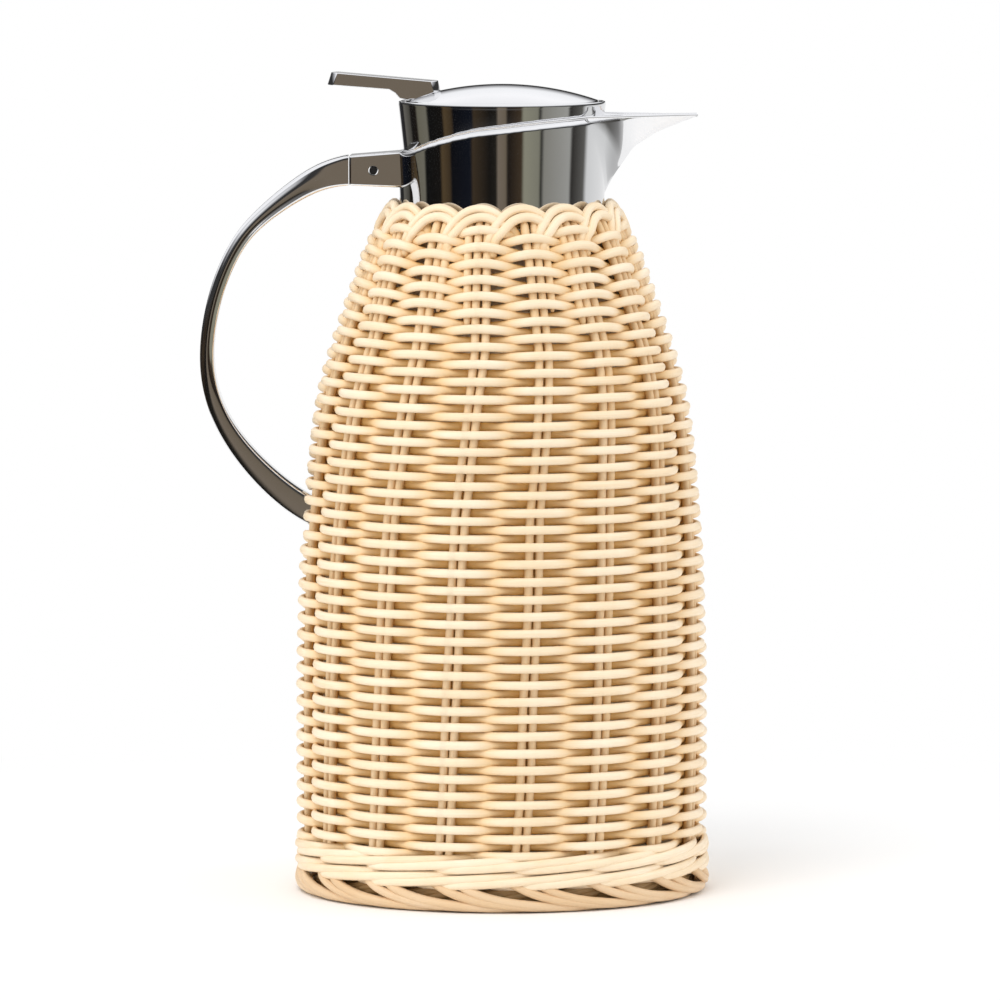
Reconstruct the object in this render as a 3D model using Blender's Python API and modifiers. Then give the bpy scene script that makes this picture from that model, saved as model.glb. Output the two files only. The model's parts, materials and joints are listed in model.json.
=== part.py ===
"""A wicker-covered vacuum jug with a chromed head, a strap handle and a lever stopper.

Metres, +Z up, spout towards +X, handle towards -X. The origin is the centre of the flat underside.
"""

import bisect
import math

import bmesh
import bpy
from mathutils import Matrix, Vector

MM = 0.001
GAP = 0.3 * MM  # between pieces that sit on or in each other
RUN = 0.1 * MM  # radial clearance of a pin in its bearing

# Casing: the shape of its side is given as shares of the height and of neck-to-belly radius.
BODY_RADIUS = 70.9 * MM
SHOULDER_RADIUS = 41.3 * MM
SHOULDER_Z = 262.0 * MM
BODY_FORM = (
    (0.0, 0.993),
    (0.092, 0.993),
    (0.344, 1.0),
    (0.496, 0.966),
    (0.611, 0.892),
    (0.706, 0.811),
    (0.763, 0.716),
    (0.821, 0.568),
    (0.878, 0.395),
    (0.935, 0.226),
    (0.973, 0.112),
    (1.0, 0.0),
)
CASING_WALL = 1.5 * MM
CASING_NECK_HEIGHT = 6.0 * MM
BODY_SEGMENTS = 32
ROUND_SEGMENTS = 24

# Base cap
BASE_THICKNESS = 3.0 * MM
BASE_RING_HEIGHT = 7.0 * MM
BASE_RING_WALL = 2.0 * MM

# Wicker jacket
WICKER_DEPTH = 9.0 * MM
FOOT_TOP_Z = 12.0 * MM
FOOT_BULGE = 1.2 * MM
WALE_TOP_Z = 24.0 * MM
SIDE_TOP_BELOW_SHOULDER = 4.0 * MM
RIM_ABOVE_SHOULDER = 12.2 * MM

# Glass liner
LINER_GAP = 7.0 * MM
LINER_WALL = 1.5 * MM
VACUUM_SPACE = 3.5 * MM
LINER_BOTTOM_Z = 16.0 * MM
LINER_CORNER = 22.0 * MM
LINER_BORE_RADIUS = SHOULDER_RADIUS - 14.3 * MM
LINER_NECK_RADIUS = LINER_BORE_RADIUS + 4.0 * MM
LINER_NECK_LENGTH = 12.0 * MM
LINER_TOP_Z = SHOULDER_Z + 2.0 * MM
NIPPLE_RADIUS = 2.5 * MM
CUSHION_INNER_RADIUS = 22.0 * MM
CUSHION_WIDTH = 17.0 * MM

# Neck insert and seals
INSERT_WALL = 1.6 * MM
INSERT_PLAY = 0.5 * MM
INSERT_DEPTH = 18.0 * MM
INSERT_FLOOR = 1.7 * MM
INSERT_UPSTAND = 6.0 * MM
GASKET_WIDTH = 4.1 * MM
GASKET_THICKNESS = 2.0 * MM

# Collar and spout
COLLAR_BORE_RADIUS = SHOULDER_RADIUS - 2.1 * MM
COLLAR_WALL = 1.1 * MM
COLLAR_STRAIGHT = 12.0 * MM
COLLAR_FLARE = 1.6 * MM
LIP_Z = SHOULDER_Z + 44.5 * MM
LIP_FALL = (
    # x, drop of the lip below its highest level
    (-60.0, 13.5),
    (-42.0, 14.5),
    (-36.0, 13.1),
    (-27.0, 9.1),
    (-12.5, 5.0),
    (0.0, 3.3),
    (15.0, 1.6),
    (34.0, 0.0),
)
SPOUT_LENGTH = 77.5 * MM
SPOUT_ROOT_X = 30.0 * MM
SPOUT_WALL = 1.2 * MM
SPOUT_STATIONS = (
    # share of the way from root to tip, half width at the lip, drop of the keel below the lip
    (0.0, 26.0, 34.0),
    (0.232, 16.5, 30.8),
    (0.328, 10.6, 22.5),
    (0.4, 8.4, 16.8),
    (0.457, 7.6, 13.0),
    (0.541, 6.7, 10.3),
    (0.648, 5.4, 6.9),
    (0.806, 3.6, 3.9),
    (1.0, 1.3, 0.7),
)

# Handle
HANDLE_WIDTH = 18.0 * MM
HANDLE_EDGE = 1.2 * MM
HANDLE_LINE = (
    # distance out from a line between its two ends, share of the way up from foot to lug, thickness
    (0.0, 1.0, 11.6),
    (7.8, 0.991, 10.8),
    (17.1, 0.964, 9.0),
    (31.3, 0.884, 6.9),
    (39.1, 0.827, 6.2),
    (43.7, 0.770, 5.8),
    (50.3, 0.656, 5.5),
    (52.7, 0.484, 5.3),
    (49.7, 0.370, 5.5),
    (42.5, 0.255, 6.4),
    (28.8, 0.141, 8.7),
    (10.8, 0.033, 10.0),
    (0.0, 0.0, 10.0),
)
HANDLE_FOOT_SHARE = 0.559  # of the height of the shoulder
LUG_LENGTH = 19.8 * MM
LUG_HEIGHT = 14.0 * MM
LUG_Z = SHOULDER_Z + 22.8 * MM
TONGUE_WIDTH = 10.0 * MM
TONGUE_HEIGHT = 7.0 * MM
HANDLE_PIN_RADIUS = 1.6 * MM
PLATE_SIZE = (2.0 * MM, 18.0 * MM, 18.0 * MM)
SCREW_RADIUS = 1.2 * MM
SCREW_HEAD_HEIGHT = 1.7 * MM

# Stopper cap
CAP_TOP_Z = SHOULDER_Z + 49.9 * MM
CAP_TOP_RADIUS = COLLAR_BORE_RADIUS + 1.7 * MM
CAP_TAPER = 2.64 * MM
CAP_HEIGHT = 24.9 * MM
CAP_WALL = 1.1 * MM
CORE_Z = SHOULDER_Z + 32.3 * MM
CORE_THICKNESS = 2.5 * MM
CORE_BOSS_HEIGHT = 3.2 * MM

# Plug
PLUG_WALL = 2.5 * MM
PLUG_DEPTH = 20.6 * MM
PLUG_FLANGE_WIDTH = 8.0 * MM
PLUG_FLANGE_THICKNESS = 3.0 * MM
THREAD_HEIGHT = 2.5 * MM
THREAD_PLAY = 0.4 * MM
THREAD_PITCH = 4.6 * MM
THREAD_TURNS = 3
SEAT_LEDGE = 3.0 * MM
WINDOW_WIDTH = 20.0 * MM
WINDOW_HEIGHT = 12.0 * MM

# Valve
STEM_RADIUS = 3.0 * MM
STEM_END_RADIUS = 2.3 * MM
STEM_SHOULDER_RADIUS = 5.0 * MM
STEM_PIN_RADIUS = 1.0 * MM
DISC_PLAY = 2.5 * MM
DISC_THICKNESS = 2.5 * MM
SEAL_THICKNESS = 1.5 * MM
SEAL_WIDTH = 4.5 * MM
SPRING_RADIUS = 8.0 * MM
SPRING_WIRE = 0.55 * MM
SPRING_TURNS = 5

# Lid and thumb lever
HINGE_Z = CAP_TOP_Z - 4.4 * MM
HINGE_INSET = 3.7 * MM
HINGE_PIN_RADIUS = 1.2 * MM
KNUCKLE_RADIUS = 2.3 * MM
KNUCKLE_HALF_WIDTH = 5.9 * MM
EAR_THICKNESS = 2.4 * MM
DOME_RADIUS = CAP_TOP_RADIUS - 2.7 * MM
DOME_RISE = 6.91 * MM
DOME_APEX_Z = CAP_TOP_Z + 6.7 * MM
DOME_WALL = 1.0 * MM
DOME_SKIRT_Z = CAP_TOP_Z - 1.5 * MM
LINER_DISC_RADIUS = DOME_RADIUS - 7.2 * MM
LINER_DISC_Z = CAP_TOP_Z - 2.7 * MM
LINER_DISC_THICKNESS = 1.8 * MM
YOKE_GAP = 3.8 * MM
YOKE_THICKNESS = 2.0 * MM
YOKE_WIDTH = 7.0 * MM
STEM_PIN_Z = HINGE_Z - 3.0 * MM
LEVER_WIDTH = 18.0 * MM
LEVER_TAIL_REACH = 34.3 * MM
LEVER_NOSE_REACH = 10.0 * MM
LEVER_TAIL_TOP_Z = CAP_TOP_Z + 11.4 * MM
LEVER_NOSE_TOP_Z = CAP_TOP_Z + 8.1 * MM
LEVER_THICKNESS = 4.7 * MM
LEVER_SCREW_REACH = 7.3 * MM
LEVER_SCREW_Y = 6.2 * MM

# Levels that follow from the sizes above
BASE_TOP_Z = BASE_THICKNESS + GAP
CASING_NECK_RADIUS = COLLAR_BORE_RADIUS - GAP
CASING_NECK_TOP_Z = SHOULDER_Z + CASING_NECK_HEIGHT
INSERT_FLOOR_Z = CASING_NECK_TOP_Z + GAP
INSERT_BORE_RADIUS = LINER_BORE_RADIUS - INSERT_PLAY - INSERT_WALL
SEAT_Z = INSERT_FLOOR_Z + INSERT_FLOOR
GASKET_Z = SEAT_Z + GAP
FLANGE_Z = GASKET_Z + GASKET_THICKNESS + GAP
FLANGE_TOP_Z = FLANGE_Z + PLUG_FLANGE_THICKNESS
SEAL_Z = FLANGE_TOP_Z + GAP
DISC_Z = SEAL_Z + SEAL_THICKNESS + GAP
DISC_TOP_Z = DISC_Z + DISC_THICKNESS
STEM_SHOULDER_Z = DISC_TOP_Z + GAP
CORE_TOP_Z = CORE_Z + CORE_THICKNESS
PLUG_TOP_Z = CORE_Z - GAP
EAR_INNER_Y = KNUCKLE_HALF_WIDTH + GAP
EAR_OUTER_Y = EAR_INNER_Y + EAR_THICKNESS
LUG_END_X = -COLLAR_BORE_RADIUS - COLLAR_WALL - LUG_LENGTH
HANDLE_FOOT_Z = HANDLE_FOOT_SHARE * SHOULDER_Z
PLUG_RADIUS = INSERT_BORE_RADIUS - THREAD_HEIGHT - THREAD_PLAY
PLUG_FLANGE = PLUG_RADIUS + PLUG_FLANGE_WIDTH
CAP_SCREW_CIRCLE = (PLUG_RADIUS + PLUG_FLANGE) / 2
DISC_RADIUS = PLUG_RADIUS - PLUG_WALL - DISC_PLAY
SEAT_BORE = DISC_RADIUS - SEAT_LEDGE
DOME_SPHERE = (DOME_RADIUS**2 + DOME_RISE**2) / (2 * DOME_RISE)
HINGE_X = HINGE_INSET - DOME_RADIUS
LEVER_TAIL_X = HINGE_X - LEVER_TAIL_REACH
LEVER_NOSE_X = HINGE_X + LEVER_NOSE_REACH
LEVER_SCREW_X = HINGE_X + LEVER_SCREW_REACH


# ---------------------------------------------------------------- form


def smooth(points, added):
    """Points on a smooth curve through the given ones, with some added between each pair."""
    ends = [2 * points[0] - points[1]], [2 * points[-1] - points[-2]]
    line = ends[0] + list(points) + ends[1]
    out = [points[0]]
    for a, b, c, d in zip(line, line[1:], line[2:], line[3:]):
        for step in range(1, added + 2):
            t = step / (added + 1)
            bend = (2 * a - 5 * b + 4 * c - d) * t + (3 * b - a - 3 * c + d) * t * t
            out.append(b + (c - a + bend) * t / 2)
    return out


def between(table, x):
    """The value of a table of (x, value) at x, on straight lines between its rows."""
    index = min(max(bisect.bisect([row[0] for row in table], x), 1), len(table) - 1)
    (x0, y0), (x1, y1) = table[index - 1], table[index]
    return y0 + (y1 - y0) * (x - x0) / (x1 - x0)


def body_curve(offset, low, high):
    """(radius, z) up the casing's side, moved in or out by offset, from one height to another."""
    form = [(t * SHOULDER_Z, SHOULDER_RADIUS + s * (BODY_RADIUS - SHOULDER_RADIUS)) for t, s in BODY_FORM]
    inside = [z for z, _ in form if low + MM < z < high - MM]
    return [(between(form, z) + offset, z) for z in [low, *inside, high]]


def collar_bore(z):
    """The collar's inner radius: straight at its foot, then flaring to the lip."""
    start = SHOULDER_Z + COLLAR_STRAIGHT
    return COLLAR_BORE_RADIUS + COLLAR_FLARE * max(0.0, (z - start) / (LIP_Z - start))


def cap_radius(z):
    """The stopper cap's outer radius, which grows towards its top."""
    return CAP_TOP_RADIUS - CAP_TAPER * (CAP_TOP_Z - z) / CAP_HEIGHT


def dome_z(radius, inset=0.0):
    """Height of the dome's surface, or of one a little under it, at a distance from the axis."""
    sphere = DOME_SPHERE - inset
    return DOME_APEX_Z - DOME_SPHERE + math.sqrt(sphere**2 - radius**2)


# ---------------------------------------------------------------- tools


def clear_scene():
    for obj in list(bpy.data.objects):
        bpy.data.objects.remove(obj, do_unlink=True)


def new_collection(name):
    collection = bpy.data.collections.new(name)
    bpy.context.scene.collection.children.link(collection)
    return collection


def new_material(name, colour, roughness, metallic):
    material = bpy.data.materials.new(name)
    material.use_nodes = True
    shader = material.node_tree.nodes["Principled BSDF"]
    shader.inputs["Base Color"].default_value = (*colour, 1.0)
    shader.inputs["Roughness"].default_value = roughness
    shader.inputs["Metallic"].default_value = metallic
    return material


def add_object(name, data, material, location=(0, 0, 0)):
    """A part where a material is given, and otherwise a cutter."""
    obj = bpy.data.objects.new(name, data)
    obj.location = location
    if material:
        data.materials.append(material)
        PARTS.objects.link(obj)
    else:
        obj.hide_render = True
        obj.display_type = "WIRE"
        CUTTERS.objects.link(obj)
    return obj


def turned(name, profile, material, segments=ROUND_SEGMENTS, location=(0, 0, 0)):
    """A profile of (radius, z) turned about Z: a closed loop, or a line whose ends are on the axis."""
    area = sum(x0 * z1 - x1 * z0 for (x0, z0), (x1, z1) in zip(profile, profile[1:] + profile[:1]))
    if area > 0:
        profile = profile[::-1]
    edges = [(i, i + 1) for i in range(len(profile) - 1)]
    if min(x for x, _ in profile) > 1e-6:
        edges.append((len(profile) - 1, 0))
    mesh = bpy.data.meshes.new(name)
    mesh.from_pydata([(x, 0, z) for x, z in profile], edges, [])
    obj = add_object(name, mesh, material, location)
    screw = obj.modifiers.new("turn", "SCREW")
    screw.steps = screw.render_steps = segments
    screw.use_merge_vertices = True
    screw.merge_threshold = 0.00001
    screw.use_smooth_shade = True
    return obj


def ring(name, inner, outer, low, high, material, segments=ROUND_SEGMENTS, location=(0, 0, 0)):
    """A plain ring of rectangular section."""
    profile = [(inner, low), (inner, high), (outer, high), (outer, low)]
    return turned(name, profile, material, segments, location)


def box(name, low, high, material=None, edge=0.0):
    """A box between two corners, with its origin at its centre and an optional edge bevel."""
    low, high = Vector(low), Vector(high)
    bm = bmesh.new()
    bmesh.ops.create_cube(bm, size=1, matrix=Matrix.Diagonal((*(high - low), 1)))
    mesh = bpy.data.meshes.new(name)
    bm.to_mesh(mesh)
    bm.free()
    obj = add_object(name, mesh, material, (low + high) / 2)
    if edge:
        add_bevel(obj, edge)
    return obj


def rod(name, radius, start, end, material=None, segments=16):
    """A plain cylinder between two points."""
    start, end = Vector(start), Vector(end)
    bm = bmesh.new()
    bmesh.ops.create_cone(
        bm,
        cap_ends=True,
        segments=segments,
        radius1=radius,
        radius2=radius,
        depth=(end - start).length,
    )
    mesh = bpy.data.meshes.new(name)
    bm.to_mesh(mesh)
    bm.free()
    mesh.shade_smooth()
    mesh.set_sharp_from_angle(angle=math.radians(40))
    obj = add_object(name, mesh, material, (start + end) / 2)
    obj.rotation_euler = (end - start).to_track_quat("Z", "Y").to_euler()
    return obj


def plate(name, outline, width, material=None, edge=0.0):
    """A side outline of (x, z) points, as thick as width and centred on the plane y = 0."""
    curve = bpy.data.curves.new(name + "_outline", "CURVE")
    curve.dimensions = "2D"
    curve.fill_mode = "BOTH"
    curve.extrude = width / 2
    spline = curve.splines.new("POLY")
    spline.points.add(len(outline) - 1)
    for point, (x, z) in zip(spline.points, outline):
        point.co = (x, z, 0, 1)
    spline.use_cyclic_u = True
    return mesh_of(name, curve, (math.pi / 2, 0, 0), material, edge)


def mesh_of(name, curve, rotation, material, edge=0.0):
    """A curve made into a closed mesh object."""
    guide = bpy.data.objects.new(name + "_guide", curve)
    CUTTERS.objects.link(guide)
    guide.rotation_euler = rotation
    bpy.context.view_layer.update()
    graph = bpy.context.evaluated_depsgraph_get()
    mesh = bpy.data.meshes.new_from_object(guide.evaluated_get(graph))
    mesh.materials.clear()
    bm = bmesh.new()
    bm.from_mesh(mesh)
    bmesh.ops.remove_doubles(bm, verts=bm.verts, dist=0.000001)
    bmesh.ops.recalc_face_normals(bm, faces=bm.faces)
    bm.to_mesh(mesh)
    bm.free()
    obj = add_object(name, mesh, material)
    obj.matrix_world = guide.matrix_world
    bpy.data.objects.remove(guide, do_unlink=True)
    if edge:
        add_bevel(obj, edge)
    return obj


def add_bevel(obj, width):
    bevel = obj.modifiers.new("edges", "BEVEL")
    bevel.width = width
    bevel.segments = 2
    bevel.limit_method = "ANGLE"
    bevel.angle_limit = math.radians(50)


def combine(obj, other, operation="DIFFERENCE"):
    """Cuts the other object from this one, or joins it to this one."""
    modifier = obj.modifiers.new(other.name, "BOOLEAN")
    modifier.operation = operation
    modifier.solver = "EXACT"
    modifier.object = other


def loft(name, sections, material=None):
    """A solid through sections that have the same number of points, closed at both ends."""
    bm = bmesh.new()
    rows = [[bm.verts.new(point) for point in section] for section in sections]
    for row, following in zip(rows, rows[1:]):
        for i in range(len(row)):
            j = (i + 1) % len(row)
            bm.faces.new((row[i], row[j], following[j], following[i]))
    bm.faces.new(rows[0])
    bm.faces.new(rows[-1])
    bmesh.ops.recalc_face_normals(bm, faces=bm.faces)
    mesh = bpy.data.meshes.new(name)
    bm.to_mesh(mesh)
    bm.free()
    return add_object(name, mesh, material)


def screw(name, radius, head_radius, head_at, tip_at, material):
    """A pan-head screw: the head's outer face at head_at, the shank's end at tip_at."""
    head_at, tip_at = Vector(head_at), Vector(tip_at)
    length = (tip_at - head_at).length
    profile = [
        (0, 0),
        (head_radius * 0.8, 0),
        (head_radius, -SCREW_HEAD_HEIGHT * 0.4),
        (head_radius, -SCREW_HEAD_HEIGHT),
        (radius, -SCREW_HEAD_HEIGHT),
        (radius, -length),
        (0, -length),
    ]
    obj = turned(name, profile, material, 12, head_at)
    obj.rotation_euler = (head_at - tip_at).to_track_quat("Z", "Y").to_euler()
    return obj


def pivot(name, location, children):
    """An empty on a joint's axis, with the body's pieces under it."""
    empty = bpy.data.objects.new(name, None)
    empty.empty_display_size = 0.01
    empty.location = location
    PARTS.objects.link(empty)
    bpy.context.view_layer.update()
    for child in children:
        child.parent = empty
        child.matrix_parent_inverse = empty.matrix_world.inverted()


# ---------------------------------------------------------------- jug


def make_casing(material):
    outer = body_curve(0, BASE_TOP_Z, SHOULDER_Z)
    inner = body_curve(-CASING_WALL, BASE_TOP_Z, SHOULDER_Z - 2 * CASING_WALL)
    neck = [
        (CASING_NECK_RADIUS, SHOULDER_Z),
        (CASING_NECK_RADIUS, CASING_NECK_TOP_Z),
        (CASING_NECK_RADIUS - CASING_WALL, CASING_NECK_TOP_Z),
        (CASING_NECK_RADIUS - CASING_WALL, SHOULDER_Z - CASING_WALL),
    ]
    return turned("casing", outer + neck + inner[::-1], material, BODY_SEGMENTS)


def make_base_cap(material):
    rim = body_curve(0, BASE_TOP_Z, SHOULDER_Z)[0][0]
    ring_outer = rim - CASING_WALL - GAP
    ring_inner = ring_outer - BASE_RING_WALL
    ring_top = BASE_THICKNESS + BASE_RING_HEIGHT
    profile = [
        (0, BASE_THICKNESS),
        (ring_inner, BASE_THICKNESS),
        (ring_inner, ring_top),
        (ring_outer, ring_top),
        (ring_outer, BASE_THICKNESS),
        (rim, BASE_THICKNESS),
        (rim, 0),
        (0, 0),
    ]
    return turned("base_cap", profile, material, BODY_SEGMENTS)


def liner_side(offset):
    """(radius, z) of a liner wall from its bottom corner to its neck, offset from the outer surface."""
    side = body_curve(-CASING_WALL - LINER_GAP + offset, LINER_BOTTOM_Z + LINER_CORNER, 0.92 * SHOULDER_Z)
    corner_radius = LINER_CORNER + offset
    centre = side[0][0] - corner_radius
    corner = [
        (
            centre + corner_radius * math.sin(angle),
            LINER_BOTTOM_Z + LINER_CORNER - corner_radius * math.cos(angle),
        )
        for angle in (math.radians(degrees) for degrees in (0, 30, 60))
    ]
    return corner + side


def make_glass_liner(material):
    shoulder = LINER_TOP_Z - LINER_NECK_LENGTH
    wall = LINER_WALL
    inner_offset = -2 * wall - VACUUM_SPACE
    outer = liner_side(0) + [(LINER_NECK_RADIUS, shoulder), (LINER_NECK_RADIUS, LINER_TOP_Z - MM)]
    lip = [(LINER_NECK_RADIUS - MM, LINER_TOP_Z), (LINER_BORE_RADIUS + MM, LINER_TOP_Z)]
    bore = [(LINER_BORE_RADIUS, LINER_TOP_Z - MM), (LINER_BORE_RADIUS, shoulder - 2 * MM)]
    space_top = LINER_TOP_Z - 4 * MM
    neck_wall = 0.9 * wall
    space_outer = [(LINER_NECK_RADIUS - neck_wall, z) for z in (shoulder, space_top)]
    space_inner = [(LINER_BORE_RADIUS + neck_wall, z) for z in (space_top, shoulder - 2 * MM)]
    inner = liner_side(inner_offset)
    middle = liner_side(inner_offset + wall)
    far = liner_side(-wall)
    profile = [(0, inner[0][1])] + inner + bore[::-1] + lip[::-1] + outer[::-1]
    profile += [(NIPPLE_RADIUS, LINER_BOTTOM_Z), (NIPPLE_RADIUS, LINER_BOTTOM_Z + wall)]
    profile += far + space_outer + space_inner + middle[::-1] + [(0, middle[0][1])]
    return turned("glass_liner", profile, material)


def make_neck_insert(material):
    tube = INSERT_BORE_RADIUS + INSERT_WALL
    edge = CASING_NECK_RADIUS
    profile = [
        (INSERT_BORE_RADIUS, SEAT_Z - INSERT_DEPTH),
        (INSERT_BORE_RADIUS, SEAT_Z),
        (edge - CASING_WALL, SEAT_Z),
        (edge - CASING_WALL, SEAT_Z + INSERT_UPSTAND),
        (edge, SEAT_Z + INSERT_UPSTAND),
        (edge, INSERT_FLOOR_Z),
        (tube, INSERT_FLOOR_Z),
        (tube, SEAT_Z - INSERT_DEPTH),
    ]
    return turned("neck_insert", profile, material)


def spout_sections(inset):
    """Closed sections of the beak from the collar to its tip: a V with slightly full sides."""
    sections = []
    top = LIP_Z + 3 * MM + 2 * inset
    for share, half_width, drop in SPOUT_STATIONS:
        x = SPOUT_ROOT_X + share * (SPOUT_LENGTH - SPOUT_ROOT_X)
        width = max(half_width * MM - inset, 0.15 * MM)
        keel = min(LIP_Z - drop * MM + 1.35 * inset, top - MM)
        knee = keel + 0.45 * (LIP_Z - keel)
        sections.append(
            [
                (x, -width, top),
                (x, -width, LIP_Z),
                (x, -0.68 * width, knee),
                (x, 0, keel),
                (x, 0.68 * width, knee),
                (x, width, LIP_Z),
                (x, width, top),
            ]
        )
    return sections


def make_collar(material):
    foot = SHOULDER_Z + GAP
    start = SHOULDER_Z + COLLAR_STRAIGHT
    top = LIP_Z + 2 * MM
    outer = [(0, top)]
    outer += [(collar_bore(z) + COLLAR_WALL, z) for z in (top, start, foot)]
    outer += [(0, foot)]
    collar = turned("collar", outer, material, BODY_SEGMENTS)
    spout = loft("spout_outside", spout_sections(0))
    combine(collar, spout, "UNION")
    lug_root = -COLLAR_BORE_RADIUS + 2 * MM
    taper = 0.85
    half = LUG_HEIGHT / 2
    outline = [
        (LUG_END_X, LUG_Z - half * taper),
        (LUG_END_X, LUG_Z + half * taper),
        (lug_root, LUG_Z + half),
        (lug_root, LUG_Z - half),
    ]
    combine(collar, plate("lug_outside", outline, HANDLE_WIDTH, edge=HANDLE_EDGE), "UNION")
    above, below = top + 5 * MM, foot - MM
    bore = [(0, above), *((collar_bore(z), z) for z in (above, start, below)), (0, below)]
    combine(collar, turned("collar_bore", bore, None, BODY_SEGMENTS))
    combine(collar, loft("spout_inside", spout_sections(SPOUT_WALL)[:-1]))
    sky = LIP_Z + 20 * MM
    beyond = SPOUT_LENGTH + 20 * MM
    lip = [Vector((x * MM, LIP_Z - fall * MM)) for x, fall in LIP_FALL]
    lip = smooth(lip, 1) + [(beyond, LIP_Z), (beyond, sky), (lip[0][0], sky)]
    combine(collar, plate("lip_cutter", lip, 110 * MM))
    slot_half = (TONGUE_WIDTH / 2 + GAP, TONGUE_HEIGHT / 2 + GAP)
    slot = box(
        "tongue_slot",
        (LUG_END_X - MM, -slot_half[0], LUG_Z - slot_half[1]),
        (-COLLAR_BORE_RADIUS - COLLAR_WALL - MM, slot_half[0], LUG_Z + slot_half[1]),
    )
    combine(collar, slot)
    combine(collar, pin_rod("lug_pin_hole", HANDLE_PIN_RADIUS + GAP, HANDLE_WIDTH))
    return collar


def pin_rod(name, radius, half_length, material=None):
    """A cylinder across the lug, where the handle's pin goes."""
    x = LUG_END_X + LUG_LENGTH * 0.48
    return rod(name, radius, (x, -half_length, LUG_Z), (x, half_length, LUG_Z), material)


def make_handle(material):
    foot_x = -handle_foot_radius() - GAP
    head_x = LUG_END_X - GAP
    line = []
    for out, share, thickness in HANDLE_LINE:
        x = foot_x + (head_x - foot_x) * share - out * MM
        z = HANDLE_FOOT_Z + (LUG_Z - HANDLE_FOOT_Z) * share
        line.append(Vector((x, z, thickness * MM)))
    line = smooth(line, 1)
    top, bottom = [], []
    for i, point in enumerate(line):
        before, after = line[max(i - 1, 0)], line[min(i + 1, len(line) - 1)]
        along = Vector((after[0] - before[0], after[1] - before[1])).normalized()
        if i in (0, len(line) - 1):
            along = Vector((-1, 0)) if i == 0 else Vector((1, 0))
        across = Vector((-along[1], along[0])) * point[2] / 2
        top.append(Vector(point[:2]) + across)
        bottom.append(Vector(point[:2]) - across)
    handle = plate("handle", top + bottom[::-1], HANDLE_WIDTH, material, HANDLE_EDGE)
    tongue = box(
        "tongue",
        (LUG_END_X - 3 * MM, -TONGUE_WIDTH / 2, LUG_Z - TONGUE_HEIGHT / 2),
        (-COLLAR_BORE_RADIUS - COLLAR_WALL - MM - GAP, TONGUE_WIDTH / 2, LUG_Z + TONGUE_HEIGHT / 2),
    )
    combine(handle, tongue, "UNION")
    combine(handle, pin_rod("tongue_pin_hole", HANDLE_PIN_RADIUS + GAP, HANDLE_WIDTH))
    foot_hole = rod(
        "foot_hole",
        SCREW_RADIUS + GAP,
        (foot_x + 5 * MM, 0, HANDLE_FOOT_Z),
        (foot_x - 9 * MM, 0, HANDLE_FOOT_Z),
    )
    combine(handle, foot_hole)
    return handle


def handle_foot_radius():
    """The casing's largest radius over the height of the handle's foot."""
    half = PLATE_SIZE[2] / 2
    return max(r for r, _ in body_curve(0, HANDLE_FOOT_Z - half, HANDLE_FOOT_Z + half))


def make_handle_fixing(casing, steel, dark_steel):
    """The plate inside the casing and the screw through it into the handle's foot."""
    half_y, half_z = PLATE_SIZE[1] / 2, PLATE_SIZE[2] / 2
    narrow = min(r for r, _ in body_curve(0, HANDLE_FOOT_Z - half_z, HANDLE_FOOT_Z + half_z))
    inside = (narrow - CASING_WALL) * math.cos(math.pi / BODY_SEGMENTS)
    outer_x = -math.sqrt(inside**2 - half_y**2) + GAP
    inner_x = outer_x + PLATE_SIZE[0]
    plate_box = box(
        "handle_plate",
        (outer_x, -half_y, HANDLE_FOOT_Z - half_z),
        (inner_x, half_y, HANDLE_FOOT_Z + half_z),
        steel,
    )
    head_x = inner_x + GAP + SCREW_HEAD_HEIGHT
    tip_x = -handle_foot_radius() - GAP - 8 * MM
    fixing = screw(
        "handle_screw",
        SCREW_RADIUS,
        2 * SCREW_RADIUS,
        (head_x, 0, HANDLE_FOOT_Z),
        (tip_x, 0, HANDLE_FOOT_Z),
        dark_steel,
    )
    hole = rod("plate_hole", SCREW_RADIUS + GAP, (head_x, 0, HANDLE_FOOT_Z), (tip_x, 0, HANDLE_FOOT_Z))
    combine(casing, hole)
    combine(plate_box, hole)
    pin = pin_rod("handle_pin", HANDLE_PIN_RADIUS, HANDLE_WIDTH / 2 - GAP, dark_steel)
    return [plate_box, fixing, pin]


def make_collar_screws(casing, collar, material):
    """Three screws through the collar's foot into the casing's neck, hidden by the wicker's rim."""
    z = SHOULDER_Z + CASING_NECK_HEIGHT / 2
    head_radius = 1.8 * MM
    face = COLLAR_BORE_RADIUS + COLLAR_WALL + 0.2 * MM
    outer = math.sqrt(max((SHOULDER_RADIUS + GAP) ** 2 - head_radius**2, (face + 0.5 * MM) ** 2)) - GAP
    screws = []
    for number, degrees in enumerate((60, 180, 300), 1):
        out = Vector((math.cos(math.radians(degrees)), math.sin(math.radians(degrees)), 0))
        up = Vector((0, 0, z))
        shank = rod(f"collar_hole_{number}", SCREW_RADIUS + GAP, up + out * 30 * MM, up + out * 45 * MM)
        combine(casing, shank)
        combine(collar, shank)
        tip = CASING_NECK_RADIUS - CASING_WALL - 2 * MM
        body = rod(f"collar_screw_{number}", SCREW_RADIUS, up + out * tip, up + out * outer, material, 12)
        head = rod(f"collar_head_{number}", head_radius, up + out * face, up + out * outer, None, 12)
        combine(body, head, "UNION")
        screws.append(body)
    return screws


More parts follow.
